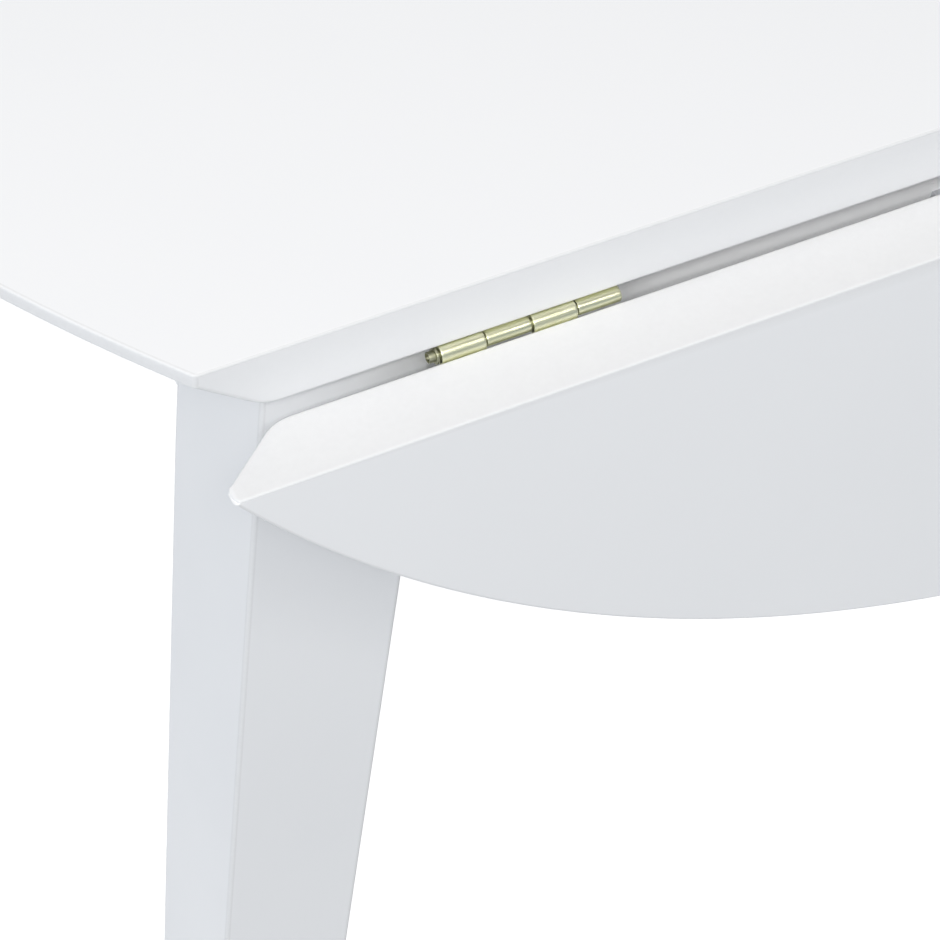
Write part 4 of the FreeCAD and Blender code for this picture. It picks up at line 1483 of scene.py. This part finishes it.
@dataclass
class Studio:
    """The white studio: a pale floor, soft light from all round and the photograph's camera.

    Attributes:
        eye: Place of the camera.
        yaw: Turn of the camera's heading about Z, in degrees from +Y.
        pitch: Angle that it looks down by, in degrees.
        roll: Turn about its own axis, in degrees.
        focal: Focal length in pixels of the square picture.
        picture: Width of the picture in pixels.
        sensor: Width of the sensor in millimetres.
        floor_half: Half the floor's width.
        floor_drop: Distance of the floor under the glides.
        floor_shade: Reflectance of the floor.
        floor_glow: Light that the floor gives off.
        zenith: Colour of the light from above.
        horizon: Colour of the light from the sides.
        ground: Colour of the light from below.
        left_lift: How much brighter the left side is than the middle.
        back_lift: How much brighter the back, which the lamps don't reach, is than the middle.
        horizon_band: Half the height of the band between the sides' and the ground's light.
        key: The long lamp that runs along the joint and shows in the hinges.
        fill: The lamp beside the camera that reaches into the gap under the top.
    """

    eye: tuple = (-0.5639, -0.6871, 1.2853)
    yaw: float = -34.425
    pitch: float = 50.414
    roll: float = 8.275
    focal: float = 3264.6
    picture: float = 940.0
    sensor: float = 36.0
    floor_half: float = 8.0
    floor_drop: float = 0.2 * MM
    floor_shade: tuple = (0.5, 0.5, 0.5)
    floor_glow: float = 0.8
    zenith: tuple = (0.46, 0.447, 0.437)
    horizon: tuple = (0.45, 0.51, 0.585)
    ground: tuple = (0.318, 0.336, 0.361)
    left_lift: float = 0.42
    back_lift: float = 0.15
    horizon_band: float = 0.08
    key: Lamp = Lamp("soft_key", (-0.9, -1.69, 2.67), (4.0, 0.26), 26.0)
    fill: Lamp = Lamp("front_fill", (-1.6, -1.86, 2.86), (1.4, 0.26), 40.0, colour=(0.99, 0.992, 1.0))

    def axes(self) -> Matrix:
        """The camera's axes: across, upward and backward, as the columns of a turn.

        The heading is turned from +Y by the yaw and tipped down by the pitch, and then the other two axes are
        turned about it by the roll.

        Returns:
            The turn as a four by four matrix.
        """
        yaw, pitch, roll = (math.radians(angle) for angle in (self.yaw, self.pitch, self.roll))
        right = Vector((math.cos(yaw), math.sin(yaw), 0.0))
        heading = Vector((-math.sin(yaw), math.cos(yaw), 0.0))
        forward = heading * math.cos(pitch) + Vector((0.0, 0.0, -math.sin(pitch)))
        up = right.cross(forward)
        across = right * math.cos(roll) + up * math.sin(roll)
        upward = up * math.cos(roll) - right * math.sin(roll)
        return Matrix((across, upward, -forward)).transposed().to_4x4()

    def camera(self) -> None:
        """Set the camera at the photograph's place, heading and focal length."""
        data = bpy.data.cameras.new("photo_camera")
        data.sensor_width = self.sensor
        data.lens = self.focal * self.sensor / self.picture
        data.clip_end = 100.0
        camera = put("photo_camera", data)
        camera.matrix_world = Matrix.Translation(self.eye) @ self.axes()
        bpy.context.scene.camera = camera

    def floor(self) -> None:
        """Lay a plain pale floor that gives off a little light, as a lit studio floor does."""
        half = self.floor_half
        mesh = bpy.data.meshes.new("studio_floor")
        signs = ((-1, -1), (1, -1), (1, 1), (-1, 1))
        mesh.from_pydata([(x * half, y * half, -self.floor_drop) for x, y in signs], [], [(0, 1, 2, 3)])
        sketch = Sketch("studio_floor")
        sketch.set(sketch.shader, Base_Color=(*self.floor_shade, 1.0), Roughness=0.9, Specular_IOR_Level=0.1,
                   Emission_Color=(1.0, 1.0, 1.0, 1.0), Emission_Strength=self.floor_glow)
        mesh.materials.append(sketch.material)
        floor = put("studio_floor", mesh)
        floor.visible_diffuse = False

    def sky(self) -> None:
        """Light the table from all round: neutral above, cooler at the sides, weaker from below.

        Along a direction (x, y, z) the strength is 1 - left_lift x + back_lift y, and the colour follows z.
        """
        world = bpy.data.worlds.new("studio_light")
        world.use_nodes = True
        bpy.context.scene.world = world
        sky = Tree(world.node_tree)
        split = sky.add("ShaderNodeSeparateXYZ")
        sky.join(sky.place, "Generated", split, "Vector")
        rise = sky.spread(split, "Z", (0.0, 1.0), (0.0, 1.0))
        level = sky.spread(split, "Z", (0.0, 1.0), (-self.horizon_band, self.horizon_band))
        for ramp in (rise, level):
            ramp.interpolation_type = "SMOOTHSTEP"
        above = sky.tint(rise, "Result", self.horizon, self.zenith)
        colour = sky.tint(level, "Result", self.ground, self.horizon)
        sky.join(above, MIX_RESULT, colour, MIX_SECOND)
        sideways = sky.reckon("MULTIPLY_ADD", split, "X", -self.left_lift, 1.0)
        strength = sky.reckon("MULTIPLY_ADD", split, "Y", self.back_lift)
        sky.join(sideways, "Value", strength, 2)
        light = sky.add("ShaderNodeBackground")
        sky.join(colour, MIX_RESULT, light, "Color")
        sky.join(strength, "Value", light, "Strength")
        sky.join(light, "Background", sky.add("ShaderNodeOutputWorld"), "Surface")

    def build(self) -> None:
        """Set up the floor, the light, the camera and plain colour handling."""
        self.floor()
        self.sky()
        self.key.hang()
        self.fill.hang()
        self.camera()
        bpy.context.scene.view_settings.view_transform = "Standard"


def main() -> None:
    """Build each class in order."""
    logging.basicConfig(level=logging.INFO, format="%(name)s %(message)s")
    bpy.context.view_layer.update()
    studio = Studio()
    studio.build()
    shop = Workshop()
    top = Top()
    hinges = Hinges(top)
    legs = Frame(top)
    shop.piece("dressed_centre_top", [top.panel()], "white_lacquer", "table", ["centre_top"])
    for side in Side:
        leaf = side.word + "_leaf"
        shop.piece("dressed_" + leaf, [top.leaf().placed(hinges.hung(side))], "white_lacquer", leaf, [leaf])
    legs.build(shop)
    hinges.build(shop)
    Stays(hinges, legs).build(shop)
    shop.dress_rest()
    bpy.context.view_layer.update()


if __name__ == "__main__":
    main()
